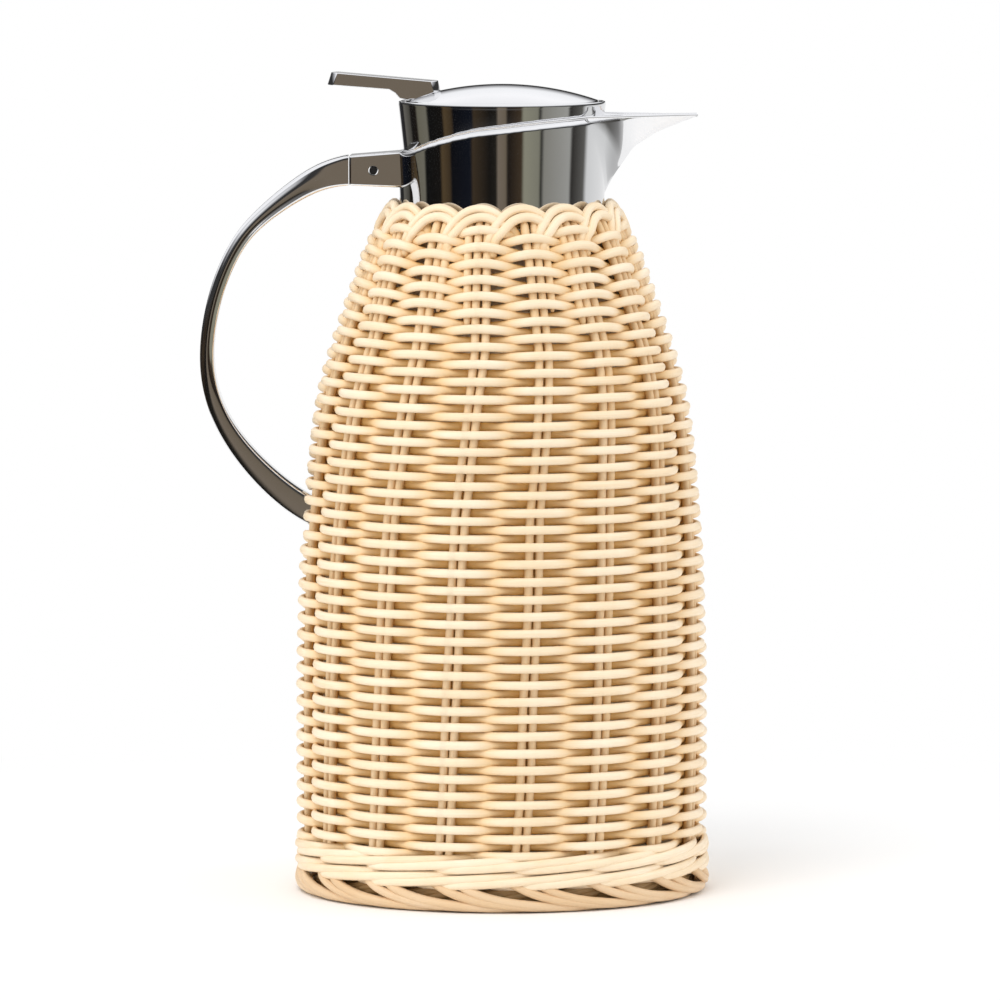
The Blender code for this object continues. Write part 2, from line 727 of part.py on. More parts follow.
def make_wicker(material):
    """The jacket in four rings: foot border, waling, side weave and rim border."""
    inner = GAP
    outer = GAP + WICKER_DEPTH

    def edge(offset, z):
        return body_curve(offset, z, SHOULDER_Z)[0]

    foot_in = edge(inner, BASE_TOP_Z)[0]
    foot_out = edge(outer, BASE_TOP_Z)[0]
    foot = [
        (foot_in, 0),
        (foot_in, FOOT_TOP_Z),
        (foot_out - MM, FOOT_TOP_Z),
        (foot_out + 0.6 * FOOT_BULGE, 0.8 * FOOT_TOP_Z),
        (foot_out + FOOT_BULGE, 0.48 * FOOT_TOP_Z),
        (foot_out + 0.4 * FOOT_BULGE, 0.16 * FOOT_TOP_Z),
        (foot_out - 2.5 * MM, 0),
    ]
    wale = body_curve(inner, FOOT_TOP_Z + GAP, WALE_TOP_Z)
    wale += body_curve(outer, FOOT_TOP_Z + GAP, WALE_TOP_Z)[::-1]
    side_top = SHOULDER_Z - SIDE_TOP_BELOW_SHOULDER
    side = body_curve(inner, WALE_TOP_Z + GAP, side_top)
    side += body_curve(outer, WALE_TOP_Z + GAP, side_top)[::-1]
    rim_top = SHOULDER_Z + RIM_ABOVE_SHOULDER
    rim_in = SHOULDER_RADIUS + inner
    rim_low = side_top + GAP
    rim = [
        edge(inner, rim_low),
        (rim_in, SHOULDER_Z + GAP),
        (rim_in, rim_top - MM),
        (rim_in + 1.3 * MM, rim_top),
        (rim_in + 3.4 * MM, rim_top - 1.7 * MM),
        (rim_in + 5.8 * MM, rim_top - 5.4 * MM),
        (rim_in + WICKER_DEPTH - 0.2 * MM, SHOULDER_Z + GAP),
        edge(outer, rim_low),
    ]
    rings = [
        turned("wicker_foot", foot, material, BODY_SEGMENTS),
        turned("wicker_wale", wale, material, BODY_SEGMENTS),
        turned("wicker_side", side, material, BODY_SEGMENTS),
        turned("wicker_rim", rim, material, BODY_SEGMENTS),
    ]
    way = box(
        "handle_way",
        (-BODY_RADIUS - 2 * WICKER_DEPTH, -HANDLE_WIDTH / 2 - 2 * GAP, HANDLE_FOOT_Z - 8.5 * MM),
        (-SHOULDER_RADIUS, HANDLE_WIDTH / 2 + 2 * GAP, HANDLE_FOOT_Z + 13.5 * MM),
    )
    combine(rings[2], way)
    return rings


# ---------------------------------------------------------------- stopper


def make_stopper_cap(material):
    low = CAP_TOP_Z - CAP_HEIGHT
    ledge = CORE_Z - GAP
    profile = [
        (cap_radius(CAP_TOP_Z) - 0.9 * MM, CAP_TOP_Z - 0.4 * MM),
        (cap_radius(CAP_TOP_Z) - 0.5 * MM, CAP_TOP_Z),
        (cap_radius(CAP_TOP_Z) - 0.1 * MM, CAP_TOP_Z - 0.1 * MM),
        (cap_radius(CAP_TOP_Z), CAP_TOP_Z - 0.5 * MM),
        (cap_radius(low), low),
        (cap_radius(low) - CAP_WALL, low),
        (cap_radius(ledge) - CAP_WALL, ledge - 1.6 * MM),
        (cap_radius(ledge) - CAP_WALL - 2.2 * MM, ledge - 1.6 * MM),
        (cap_radius(ledge) - CAP_WALL - 2.2 * MM, ledge),
        (cap_radius(ledge) - CAP_WALL, ledge),
        (cap_radius(CAP_TOP_Z) - CAP_WALL, CAP_TOP_Z - 0.8 * MM),
    ]
    return turned("stopper_cap", profile, material, BODY_SEGMENTS)


def hinge_rod(name, radius, half_length, material=None):
    """A cylinder on the lid's hinge axis."""
    return rod(name, radius, (HINGE_X, -half_length, HINGE_Z), (HINGE_X, half_length, HINGE_Z), material)


def make_cap_core(material):
    bore = STEM_RADIUS + GAP
    profile = [
        (bore, CORE_Z),
        (bore, CORE_TOP_Z + CORE_BOSS_HEIGHT),
        (bore + 3 * MM, CORE_TOP_Z + CORE_BOSS_HEIGHT),
        (bore + 3 * MM, CORE_TOP_Z),
        (cap_radius(CORE_Z) - CAP_WALL - GAP, CORE_TOP_Z),
        (cap_radius(CORE_Z) - CAP_WALL - GAP, CORE_Z),
    ]
    core = turned("cap_core", profile, material)
    for name, side in (("left", -1), ("right", 1)):
        across = sorted((side * EAR_INNER_Y, side * EAR_OUTER_Y))
        post = box(
            f"ear_post_{name}",
            (HINGE_X - KNUCKLE_RADIUS, across[0], CORE_TOP_Z - MM),
            (HINGE_X + KNUCKLE_RADIUS, across[1], HINGE_Z),
        )
        near, far = ((HINGE_X, y, HINGE_Z) for y in across)
        tip = rod(f"ear_tip_{name}", KNUCKLE_RADIUS, near, far)
        combine(core, post, "UNION")
        combine(core, tip, "UNION")
    combine(core, hinge_rod("ear_bore", HINGE_PIN_RADIUS + RUN, 2 * EAR_OUTER_Y))
    return core


def make_stopper_plug(material):
    low = FLANGE_Z - PLUG_DEPTH
    bore = PLUG_RADIUS - PLUG_WALL
    inside = [
        (bore, low),
        (bore, FLANGE_Z + 0.4 * MM),
        (SEAT_BORE, FLANGE_Z + 0.4 * MM),
        (SEAT_BORE, FLANGE_TOP_Z),
        (bore, FLANGE_TOP_Z),
        (bore, PLUG_TOP_Z),
    ]
    outside = [
        (PLUG_FLANGE, PLUG_TOP_Z),
        (PLUG_FLANGE, PLUG_TOP_Z - PLUG_FLANGE_THICKNESS),
        (PLUG_RADIUS, PLUG_TOP_Z - PLUG_FLANGE_THICKNESS),
        (PLUG_RADIUS, FLANGE_TOP_Z),
        (PLUG_FLANGE, FLANGE_TOP_Z),
        (PLUG_FLANGE, FLANGE_Z),
        (PLUG_RADIUS, FLANGE_Z),
    ]
    for turn in range(THREAD_TURNS):
        z = FLANGE_Z - 3.6 * MM - turn * THREAD_PITCH
        crest = PLUG_RADIUS + THREAD_HEIGHT
        outside += [(PLUG_RADIUS, z), (crest, z - 0.9 * MM)]
        outside += [(crest, z - 1.9 * MM), (PLUG_RADIUS, z - 2.8 * MM)]
    outside += [(PLUG_RADIUS, low)]
    plug = turned("stopper_plug", inside + outside, material)
    middle = (FLANGE_TOP_Z + PLUG_TOP_Z - PLUG_FLANGE_THICKNESS) / 2
    half = WINDOW_WIDTH / 2, WINDOW_HEIGHT / 2
    reach = PLUG_RADIUS + 2 * MM
    across = box("window_x", (-reach, -half[0], middle - half[1]), (reach, half[0], middle + half[1]))
    along = box("window_y", (-half[0], -reach, middle - half[1]), (half[0], reach, middle + half[1]))
    combine(plug, across)
    combine(plug, along)
    return plug


def make_cap_screws(core, plug, material):
    screws = []
    for number, degrees in enumerate((60, 180, 300), 1):
        x = CAP_SCREW_CIRCLE * math.cos(math.radians(degrees))
        y = CAP_SCREW_CIRCLE * math.sin(math.radians(degrees))
        head = CORE_TOP_Z + GAP + SCREW_HEAD_HEIGHT
        tip = PLUG_TOP_Z - PLUG_FLANGE_THICKNESS - 2 * MM
        made = screw(f"cap_screw_{number}", SCREW_RADIUS, 2.4 * MM, (x, y, head), (x, y, tip), material)
        screws.append(made)
        hole = rod(f"cap_hole_{number}", SCREW_RADIUS + GAP, (x, y, tip), (x, y, head))
        combine(core, hole)
        combine(plug, hole)
    return screws


def make_return_spring(material):
    """A wire coil between the valve disc and the cap's core, ground flat in effect by close end turns."""
    low = DISC_TOP_Z + GAP + SPRING_WIRE
    high = CORE_Z - GAP - SPRING_WIRE
    per_turn = 12
    count = SPRING_TURNS * per_turn
    curve = bpy.data.curves.new("spring_line", "CURVE")
    curve.dimensions = "3D"
    curve.bevel_depth = SPRING_WIRE
    curve.bevel_resolution = 1
    curve.use_fill_caps = True
    spline = curve.splines.new("POLY")
    spline.points.add(count)
    for i, point in enumerate(spline.points):
        angle = 2 * math.pi * i / per_turn
        share = min(max((i - per_turn * 0.75) / (count - per_turn * 1.5), 0), 1)
        close = 2.2 * SPRING_WIRE / per_turn
        rise = close * min(i, per_turn * 0.75) + close * max(i - count + per_turn * 0.75, 0)
        z = low + rise + share * (high - low - close * per_turn * 1.5)
        point.co = (SPRING_RADIUS * math.cos(angle), SPRING_RADIUS * math.sin(angle), z, 1)
    return mesh_of("return_spring", curve, (0, 0, 0), material)


# ---------------------------------------------------------------- lid and valve


def make_lid_dome(material):
    edge = DOME_RADIUS
    steps = 5
    outer = [(edge * 0.972 * i / steps, dome_z(edge * 0.972 * i / steps)) for i in range(steps + 1)]
    inner = [(x * 0.985, dome_z(x * 0.985, DOME_WALL)) for x, _ in outer]
    skirt = [
        (edge, dome_z(edge) - 0.4 * MM),
        (edge, DOME_SKIRT_Z),
        (edge - DOME_WALL, DOME_SKIRT_Z),
    ]
    return turned("lid_dome", outer + skirt + inner[::-1], material, BODY_SEGMENTS)


def make_thumb_lever(material):
    under = []
    for reach in (-3.4, 0.5, 5.5, 10.0):
        x = HINGE_X + reach * MM
        under.append((x, dome_z(x) + GAP))
    outline = [
        (LEVER_TAIL_X + 1.0 * MM, LEVER_TAIL_TOP_Z),
        (LEVER_TAIL_X, LEVER_TAIL_TOP_Z - 1.2 * MM),
        (LEVER_TAIL_X + 0.3 * MM, LEVER_TAIL_TOP_Z - LEVER_THICKNESS + 0.8 * MM),
        (LEVER_TAIL_X + 1.5 * MM, LEVER_TAIL_TOP_Z - LEVER_THICKNESS),
        (HINGE_X - 9.9 * MM, CAP_TOP_Z + 4.9 * MM),
        (HINGE_X - 5.1 * MM, CAP_TOP_Z + 1.4 * MM),
        *under,
        (LEVER_NOSE_X, LEVER_NOSE_TOP_Z - 1.0 * MM),
        (LEVER_NOSE_X - 1.2 * MM, LEVER_NOSE_TOP_Z),
    ]
    return plate("thumb_lever", outline, LEVER_WIDTH, material, 0.8 * MM)


def make_lid_liner(material):
    top = LINER_DISC_Z + LINER_DISC_THICKNESS
    profile = [(0, top), (LINER_DISC_RADIUS, top), (LINER_DISC_RADIUS, LINER_DISC_Z), (0, LINER_DISC_Z)]
    liner = turned("lid_liner", profile, material)
    arm = box(
        "knuckle_arm",
        (HINGE_X, -KNUCKLE_HALF_WIDTH, HINGE_Z - 0.6 * KNUCKLE_RADIUS),
        (-LINER_DISC_RADIUS + 1.2 * MM, KNUCKLE_HALF_WIDTH, top - 0.2 * MM),
    )
    combine(liner, arm, "UNION")
    combine(liner, hinge_rod("knuckle", KNUCKLE_RADIUS, KNUCKLE_HALF_WIDTH - 0.05 * MM), "UNION")
    combine(liner, hinge_rod("knuckle_bore", HINGE_PIN_RADIUS + RUN, EAR_OUTER_Y))
    for name, side in (("left", -1), ("right", 1)):
        across = sorted((side * YOKE_GAP, side * (YOKE_GAP + YOKE_THICKNESS)))
        cheek = box(
            f"yoke_{name}",
            (-YOKE_WIDTH / 2, across[0], STEM_PIN_Z - 2.5 * MM),
            (YOKE_WIDTH / 2, across[1], LINER_DISC_Z + MM),
        )
        combine(liner, cheek, "UNION")
    combine(liner, stem_rod("yoke_bore", STEM_PIN_RADIUS + GAP, 3 * YOKE_GAP))
    return liner


def stem_rod(name, radius, half_length, material=None):
    """A cylinder across the top of the valve's stem."""
    return rod(name, radius, (0, -half_length, STEM_PIN_Z), (0, half_length, STEM_PIN_Z), material, 12)


def make_lever_screws(dome, liner, lever, material):
    screws = []
    for number, y in enumerate((-LEVER_SCREW_Y, LEVER_SCREW_Y), 1):
        head = (LEVER_SCREW_X, y, LINER_DISC_Z - GAP - SCREW_HEAD_HEIGHT)
        tip = (LEVER_SCREW_X, y, LEVER_NOSE_TOP_Z - 2 * MM)
        screws.append(screw(f"lever_screw_{number}", SCREW_RADIUS, 2.0 * MM, head, tip, material))
        end = (LEVER_SCREW_X, y, LEVER_NOSE_TOP_Z - 1.4 * MM)
        hole = rod(f"lever_hole_{number}", SCREW_RADIUS + GAP, head, end)
        for piece in (dome, liner, lever):
            combine(piece, hole)
    return screws


def make_valve(metal, dark_steel, plastic, rubber):
    bore = STEM_END_RADIUS + GAP
    tip = SEAL_Z - 3.2 * MM
    top = STEM_PIN_Z + 2.5 * MM
    stem = turned(
        "valve_stem",
        [
            (0, top),
            (STEM_RADIUS - 0.5 * MM, top),
            (STEM_RADIUS, top - 0.5 * MM),
            (STEM_RADIUS, STEM_SHOULDER_Z + 1.5 * MM),
            (STEM_SHOULDER_RADIUS, STEM_SHOULDER_Z + 1.5 * MM),
            (STEM_SHOULDER_RADIUS, STEM_SHOULDER_Z),
            (STEM_END_RADIUS, STEM_SHOULDER_Z),
            (STEM_END_RADIUS, tip),
            (0, tip),
        ],
        metal,
        16,
    )
    combine(stem, stem_rod("stem_bore", STEM_PIN_RADIUS + RUN, 2 * STEM_RADIUS))
    boss = DISC_RADIUS - SEAL_WIDTH - GAP
    disc = turned(
        "valve_disc",
        [
            (bore, DISC_TOP_Z),
            (DISC_RADIUS, DISC_TOP_Z),
            (DISC_RADIUS, DISC_Z),
            (boss, DISC_Z),
            (boss, SEAL_Z),
            (bore, SEAL_Z),
        ],
        plastic,
    )
    seal = ring("valve_seal", DISC_RADIUS - SEAL_WIDTH, DISC_RADIUS, SEAL_Z, DISC_Z - GAP, rubber)
    clip_top = SEAL_Z - GAP
    clip = ring("valve_clip", bore, bore + 2.2 * MM, clip_top - 1.0 * MM, clip_top, dark_steel, 16)
    mouth = box(
        "clip_mouth",
        (0, -STEM_END_RADIUS * 0.7, clip_top - 2 * MM),
        (3 * bore, STEM_END_RADIUS * 0.7, clip_top + MM),
    )
    combine(clip, mouth)
    pin = stem_rod("stem_pin", STEM_PIN_RADIUS, YOKE_GAP + YOKE_THICKNESS + 0.6 * MM, dark_steel)
    return [stem, disc, seal, clip, pin]


# ---------------------------------------------------------------- assembly


def make_jug():
    wicker = new_material("wicker", (0.86, 0.66, 0.40), 0.45, 0.0)
    chrome = new_material("chrome", (0.86, 0.86, 0.87), 0.08, 1.0)
    casing_plastic = new_material("casing_plastic", (0.72, 0.71, 0.68), 0.5, 0.0)
    dark_plastic = new_material("dark_plastic", (0.05, 0.05, 0.05), 0.45, 0.0)
    silvered_glass = new_material("silvered_glass", (0.82, 0.84, 0.86), 0.05, 1.0)
    rubber = new_material("rubber", (0.09, 0.09, 0.09), 0.8, 0.0)
    steel = new_material("steel", (0.62, 0.62, 0.63), 0.3, 1.0)
    dark_steel = new_material("dark_steel", (0.12, 0.12, 0.12), 0.35, 1.0)

    casing = make_casing(casing_plastic)
    collar = make_collar(chrome)
    cushion = ring(
        "liner_cushion",
        CUSHION_INNER_RADIUS,
        CUSHION_INNER_RADIUS + CUSHION_WIDTH,
        BASE_TOP_Z,
        LINER_BOTTOM_Z - GAP,
        rubber,
    )
    lip_gasket = ring(
        "liner_gasket",
        LINER_BORE_RADIUS + 0.4 * MM,
        LINER_NECK_RADIUS + 2 * MM,
        LINER_TOP_Z + GAP,
        INSERT_FLOOR_Z - GAP,
        rubber,
    )
    jug = [casing, collar, cushion, lip_gasket]
    jug += [make_base_cap(dark_plastic), make_glass_liner(silvered_glass), make_neck_insert(dark_plastic)]
    jug += [make_handle(chrome), *make_handle_fixing(casing, steel, dark_steel)]
    jug += [*make_collar_screws(casing, collar, steel), *make_wicker(wicker)]
    pivot("jug_frame", (0, 0, 0), jug)

    gasket_inner = PLUG_RADIUS + THREAD_HEIGHT + 0.9 * MM
    gasket_outer = gasket_inner + GASKET_WIDTH
    gasket_top = GASKET_Z + GASKET_THICKNESS
    gasket = ring("stopper_gasket", gasket_inner, gasket_outer, GASKET_Z, gasket_top, rubber)
    pivot("stopper_lift_axis", (0, 0, SEAT_Z), [gasket])

    core = make_cap_core(dark_plastic)
    plug = make_stopper_plug(dark_plastic)
    stopper = [make_stopper_cap(chrome), core, plug, *make_cap_screws(core, plug, steel)]
    stopper += [make_return_spring(steel)]
    stopper += [hinge_rod("hinge_pin", HINGE_PIN_RADIUS, EAR_OUTER_Y - 0.2 * MM, steel)]
    pivot("stopper_turn_axis", (0, 0, SEAT_Z), stopper)

    dome = make_lid_dome(chrome)
    lever = make_thumb_lever(chrome)
    liner = make_lid_liner(dark_plastic)
    lid = [dome, lever, liner, *make_lever_screws(dome, liner, lever, steel)]
    pivot("lid_hinge_axis", (HINGE_X, 0, HINGE_Z), lid)
    pivot("valve_axis", (0, 0, DISC_Z), make_valve(steel, dark_steel, dark_plastic, rubber))


clear_scene()
PARTS = new_collection("vacuum_jug")
CUTTERS = new_collection("cutters")
CUTTERS.hide_render = True
make_jug()
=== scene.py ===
"""The looks of a wicker-covered vacuum jug: its woven jacket, its chromed head and a plain studio.

Metres, +Z up, spout towards +X. Angles round the jug are degrees from the front, -Y, towards +X.
"""

import bisect
import json
import math
import random

import bmesh
import bpy
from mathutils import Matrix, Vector


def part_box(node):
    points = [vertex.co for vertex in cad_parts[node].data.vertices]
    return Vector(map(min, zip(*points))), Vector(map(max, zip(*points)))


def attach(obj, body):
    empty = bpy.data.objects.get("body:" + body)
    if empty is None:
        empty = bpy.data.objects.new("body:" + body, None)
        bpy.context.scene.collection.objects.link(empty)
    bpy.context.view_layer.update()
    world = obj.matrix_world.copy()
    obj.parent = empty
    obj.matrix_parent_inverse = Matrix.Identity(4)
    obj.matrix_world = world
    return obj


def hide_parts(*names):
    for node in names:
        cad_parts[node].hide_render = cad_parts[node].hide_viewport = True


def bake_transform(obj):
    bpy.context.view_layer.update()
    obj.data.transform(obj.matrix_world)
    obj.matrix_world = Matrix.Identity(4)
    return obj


MM = 0.001
FEWEST_IN_RING = 24
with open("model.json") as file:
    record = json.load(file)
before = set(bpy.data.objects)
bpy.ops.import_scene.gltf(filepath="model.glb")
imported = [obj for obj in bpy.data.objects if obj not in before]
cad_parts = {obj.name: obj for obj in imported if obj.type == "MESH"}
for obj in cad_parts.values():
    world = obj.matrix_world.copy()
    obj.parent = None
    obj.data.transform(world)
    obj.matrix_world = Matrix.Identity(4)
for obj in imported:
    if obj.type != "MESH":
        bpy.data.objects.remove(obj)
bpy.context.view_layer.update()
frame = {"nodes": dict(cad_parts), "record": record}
NODES = frame["nodes"]
RECORD = frame["record"]

# Cane colours: light, middle and dark tones that vary at random, and a painted shade colour deep in the
# weave
CANE = ((0.94, 0.8, 0.61), (0.91, 0.745, 0.53), (0.87, 0.67, 0.43), (0.76, 0.45, 0.13))
# Foot cane: the cane painted darker, as shade on the foot braid
SHADED_FOOT_CANE = ((0.78, 0.58, 0.38), (0.75, 0.54, 0.33), (0.71, 0.48, 0.27), (0.6, 0.31, 0.08))
# Inner foot rods' cane, painted dark as the shade behind the foot border
INNER_SHADE_CANE = ((0.5, 0.33, 0.16), (0.42, 0.26, 0.11), (0.3, 0.17, 0.06), (0.2, 0.1, 0.03))
FIBRE_SCALE = (28.0, 9.0, 37.0)  # of the grain along a strand, round it and from strand to strand
PAINTED_SHADE_DEPTHS = (0.0012, 0.0068)  # how far into the weave the painted shade starts and is full

# Jacket
COLUMNS = 16
COLUMN_STEP = 360 / COLUMNS
STAKE_RADIUS = 1.72 * MM
STAKE_SPACING = 3.85 * MM
WEAVER_FLAT = 1.5 * MM  # half thickness across the jacket
WEAVER_TALL = 1.78 * MM  # half height
ROW_PITCH = 3.33 * MM
BORDER_ROD = 1.85 * MM
WALE_ROD = 1.75 * MM
FOOT_ROD = 1.82 * MM
# height, angle of the first column there: the stakes lean a little as they rise
LEAN = (
    (0.0, -18.0),
    (0.02, -17.2),
    (0.045, -16.0),
    (0.154, -12.5),
    (0.217, -7.6),
    (0.259, -9.0),
    (0.28, -9.0),
)
# The jacket's outline is taken above its lower edge and outside its rim's bore, and evened out by height
LOWEST_RING = 10 * MM
RIM_INSIDE = 42 * MM
EVENING_SHIFTS = (-7 * MM, -3.5 * MM, 0, 3.5 * MM, 7 * MM)
# height, how far the weave stands proud of the solid jacket, in mm
PROUD = ((0.0, 1.2), (0.04, 1.7), (0.2, 1.7), (0.25, 1.2), (0.265, 0.5), (0.3, 0.0))
# height, rise in mm of a weaver where it passes over a stake
ARCH = ((0.0, 0.1), (0.195, 0.15), (0.215, 0.6), (0.235, 1.5), (0.255, 2.0), (0.3, 2.2))

# height, share of the row pitch and of the weaver's thickness there
CLOSING = ((0.0, 1.0), (0.2, 1.0), (0.235, 0.92), (0.3, 0.9))
SWELLING = ((0.0, 1.0), (0.2, 1.0), (0.24, 1.06), (0.3, 1.08))
# The rows start and end a little outside the solid side, and leave a gap for the handle's foot
ROWS_BELOW = 2.2 * MM
ROWS_ABOVE = 3.2 * MM
FOOT_GAP_HEIGHT = 21 * MM
STRAP_CLEARANCE = 1.6 * MM
TUCK = 0.955  # a broken row's end turns in to this share of its x
WAVE_FLATNESS = 0.7  # the higher, the longer a weaver stays at its outermost
STEPS_PER_COLUMN = 12
# Spacings to the side and the height where it starts, of the third rod in even and in odd columns
THIRD_STAKES = ((-1.42, 0.226), (1.42, 0.232))
STAKES_START = 12 * MM
STAKES_BELOW_RIM = 5.5 * MM
STAKE_STEP = 2 * MM
# Degrees further round and mm lower, of a column's two border rods
RIM_PAIR = ((0.0, 0.0), (2.7, 3.1))
RIM_NEAR_TOP = 9  # mm below the rim's top, past which a rod is lower by a share only
RIM_DEEP_SHARE = 0.4
RIM_SHORTENING = 0.02  # share of the way round that a rod loses for each mm that it is lower
RIM_ROUTE = (
    # angle from the column, depth below the rim's top and inset from the jacket's outside, in mm
    (2.0, 21.0, 5.5),
    (2.6, 17.0, 4.6),
    (4.0, 13.2, 3.6),
    (7.0, 8.6, 2.4),
    (12.0, 4.6, 1.7),
    (18.0, 2.9, 1.5),
    (24.0, 3.3, 1.7),
    (30.0, 5.8, 3.2),
    (35.5, 10.0, 5.6),
    (40.0, 15.0, 7.4),
)

# Waling: where the jacket is measured for it, where its two rows of strokes start, how far a stroke rises
WALE_Z = 0.03
WALE_STARTS = (10.4 * MM, 16.6 * MM)
WALE_RISE = 4.4 * MM
WALE_INSET = 0.9 * MM
WALE_THINNING = 0.82  # thickness across the jacket, as a share of the height
WALE_ROUTE = (
    # angle from the column, share of the stroke's rise, share of the way out
    (-9.0, -0.1, -0.6),
    (-3.0, 0.0, 0.05),
    (1.5, 0.04, 0.75),
    (7.0, 0.12, 1.0),
    (16.0, 0.3, 1.0),
    (26.0, 0.55, 1.0),
    (36.0, 0.78, 0.92),
    (44.0, 0.92, 0.55),
    (51.0, 1.0, -0.1),
    (57.0, 1.05, -0.7),
)
FOOT_SWELL = 0.9 * MM
# Where a column's rods start, in degrees from it
FOOT_TURNS = (-1.2, 5.4)
FOOT_INNER_TURNS = (0.0, 4.4, 11.0)
FOOT_ROUTE = (
    # angle from the column, height and distance inside the swollen foot's radius in mm, of a rod's middle
    (-5.0, 12.4, 7.5),
    (-2.0, 11.8, 5.2),
    (0.5, 10.7, 3.2),
    (4.0, 8.4, 2.0),
    (8.5, 6.2, 1.8),
    (14.5, 4.3, 1.85),
    (22.0, 3.0, 2.2),
    (30.0, 2.3, 3.1),
    (38.0, 2.1, 4.6),
    (45.0, 2.1, 6.6),
)
# The same for the rods behind, inside the foot's own radius, painted darker as shade
FOOT_INNER_ROUTE = (
    (-4.0, 2.6, 7.6),
    (4.0, 4.2, 6.6),
    (12.0, 6.4, 6.2),
    (20.0, 8.6, 6.6),
    (26.0, 10.5, 7.0),
)

# Chromed head
TURNED_SEGMENTS = 144
HANDLE_HALF_WIDTH = 9.0 * MM
HANDLE_LINE = (
    # x and z of the centreline, thickness, in mm
    (-68.0, 283.6, 10.8),
    (-77.5, 279.8, 9.0),
    (-92.5, 268.8, 6.7),
    (-100.8, 260.9, 6.0),
    (-105.9, 253.0, 5.8),
    (-113.6, 237.2, 5.5),
    (-117.6, 213.4, 5.3),
    (-115.6, 197.6, 5.5),
    (-109.5, 181.8, 6.2),
    (-96.8, 166.0, 8.7),
    (-79.8, 151.0, 10.0),
)
# By share of the way from the lug to the foot: the edges' rounding as a share of the strap's thickness,
# and how far its sides bulge as a share of half of it
HANDLE_ROUNDING = ((0.0, 0.07), (0.17, 0.16), (0.58, 0.18), (0.7, 0.07), (1.0, 0.05))
HANDLE_CROWN = (
    (0.0, 0.0),
    (0.08, 0.01),
    (0.17, 0.08),
    (0.33, 0.14),
    (0.58, 0.13),
    (0.68, 0.04),
    (1.0, 0.03),
)
HANDLE_END = 11.7 * MM  # thickness at the lug
HANDLE_FOOT = 10.0 * MM  # thickness at the casing
HANDLE_SINK = 3 * MM  # how far the foot goes into the casing
CASING_RING = 3  # the casing's ring just below the handle's foot, counted from the lowest
SMOOTHINGS = 60
LUG_ROOT_X = -38.6 * MM
PIN_HOLE_RADIUS = 1.95 * MM
# x and z of the collar's lip, in mm
LIP_LINE = (
    (-42.0, 291.6),
    (-36.0, 293.4),
    (-27.0, 297.4),
    (-12.5, 301.5),
    (0.0, 303.2),
    (15.0, 304.9),
    (34.0, 306.4),
)
MEAN_LIP_Z = 0.3
COLLAR_SHEET = 0.99 * MM
COLLAR_FLARE = 1.6 * MM
COLLAR_STRAIGHT = 12 * MM  # height of the part that doesn't flare
SCREW_HEAD_DEPTH = 0.9 * MM
# x, half width at the lip, z of the keel, in mm, from the beak's crease to its tip
BEAK_LINE = (
    (48.0, 8.9, 288.3),
    (51.7, 7.7, 293.5),
    (55.7, 6.8, 296.3),
    (60.8, 5.6, 299.5),
    (68.3, 3.9, 302.7),
    (73.5, 2.5, 304.7),
    (76.8, 1.3, 305.9),
)
BEAK_HALF_ANGLE = 36.0
KEEL_ROOT_Z = 275.7 * MM
BEAK_LIP_Z = 306.4 * MM
CREASE_POWER = 1.25
BEAK_SAG = 1.1 * MM
# x in mm, radius of the lip's bead in mm
LIP_BEAD = ((-42.0, 0.14), (48.0, 0.5686), (77.0, 0.37))
LIP_BEAD_STEP = 1.2 * MM
CAP_WALL = 1.1 * MM
DOME_WALL = 1.0 * MM
# How far the lever's ends bow out, seen from above
LEVER_TAIL_BOW = 2.3 * MM
LEVER_NOSE_BOW = 2.6 * MM
FLAT_AREA = 15 * MM * MM  # larger faces of the lug and the lever stay flat
SPRING_WIRE = 0.55 * MM
SPRING_TURNS = 5
SPRING_END_TURNS = 0.75  # nearly closed turns at each end

# Studio
WHITE = (1, 1, 1, 1)
FLOOR_RADIUS = 0.55
FLOOR_CLEAR = 0.13  # distance from the axis where the floor starts to fade
FLOOR_TINTS = ((0.0, (0.94, 0.94, 0.94)), (1.0, (0.955, 0.955, 0.955)))
ROOM_STRENGTH = 1.12
EVEN_STRENGTH = 0.9
LIGHT_AIM = (0, 0, 0.17)
LIGHTS = (
    # name, place, width and height, watts
    ("key", (-0.7, -1.5, 2.1), (1.1, 1.1), 22),
    ("left_strip", (-2.2, -0.7, 0.5), (0.5, 1.6), 9),
    ("right_strip", (2.2, 0.1, 0.6), (0.6, 1.6), 9),
)
ROOM = (
    # share of the way round from the back over the left, the front and the right; brightness there
    (0.0, (240, 240, 240)),
    (0.035, (225, 225, 225)),
    (0.05, (50, 50, 52)),
    (0.09, (30, 30, 30)),
    (0.1, (96, 94, 88)),
    (0.14, (70, 68, 62)),
    (0.15, (24, 22, 20)),
    (0.18, (26, 22, 18)),
    (0.19, (100, 97, 84)),
    (0.232, (106, 103, 92)),
    (0.24, (16, 16, 16)),
    (0.298, (20, 18, 16)),
    (0.306, (78, 64, 44)),
    (0.333, (58, 47, 33)),
    (0.34, (12, 13, 17)),
    (0.402, (16, 19, 27)),
    (0.41, (56, 46, 34)),
    (0.462, (22, 20, 18)),
    (0.482, (30, 28, 24)),
    (0.488, (112, 102, 90)),
    (0.511, (104, 94, 80)),
    (0.517, (26, 22, 19)),
    (0.56, (60, 49, 37)),
    (0.568, (134, 133, 117)),
    (0.615, (122, 121, 108)),
    (0.622, (20, 20, 20)),
    (0.632, (128, 127, 120)),
    (0.722, (150, 150, 146)),
    (0.732, (46, 44, 42)),
    (0.785, (88, 87, 84)),
    (0.805, (205, 206, 206)),
    (1.0, (235, 235, 235)),
)

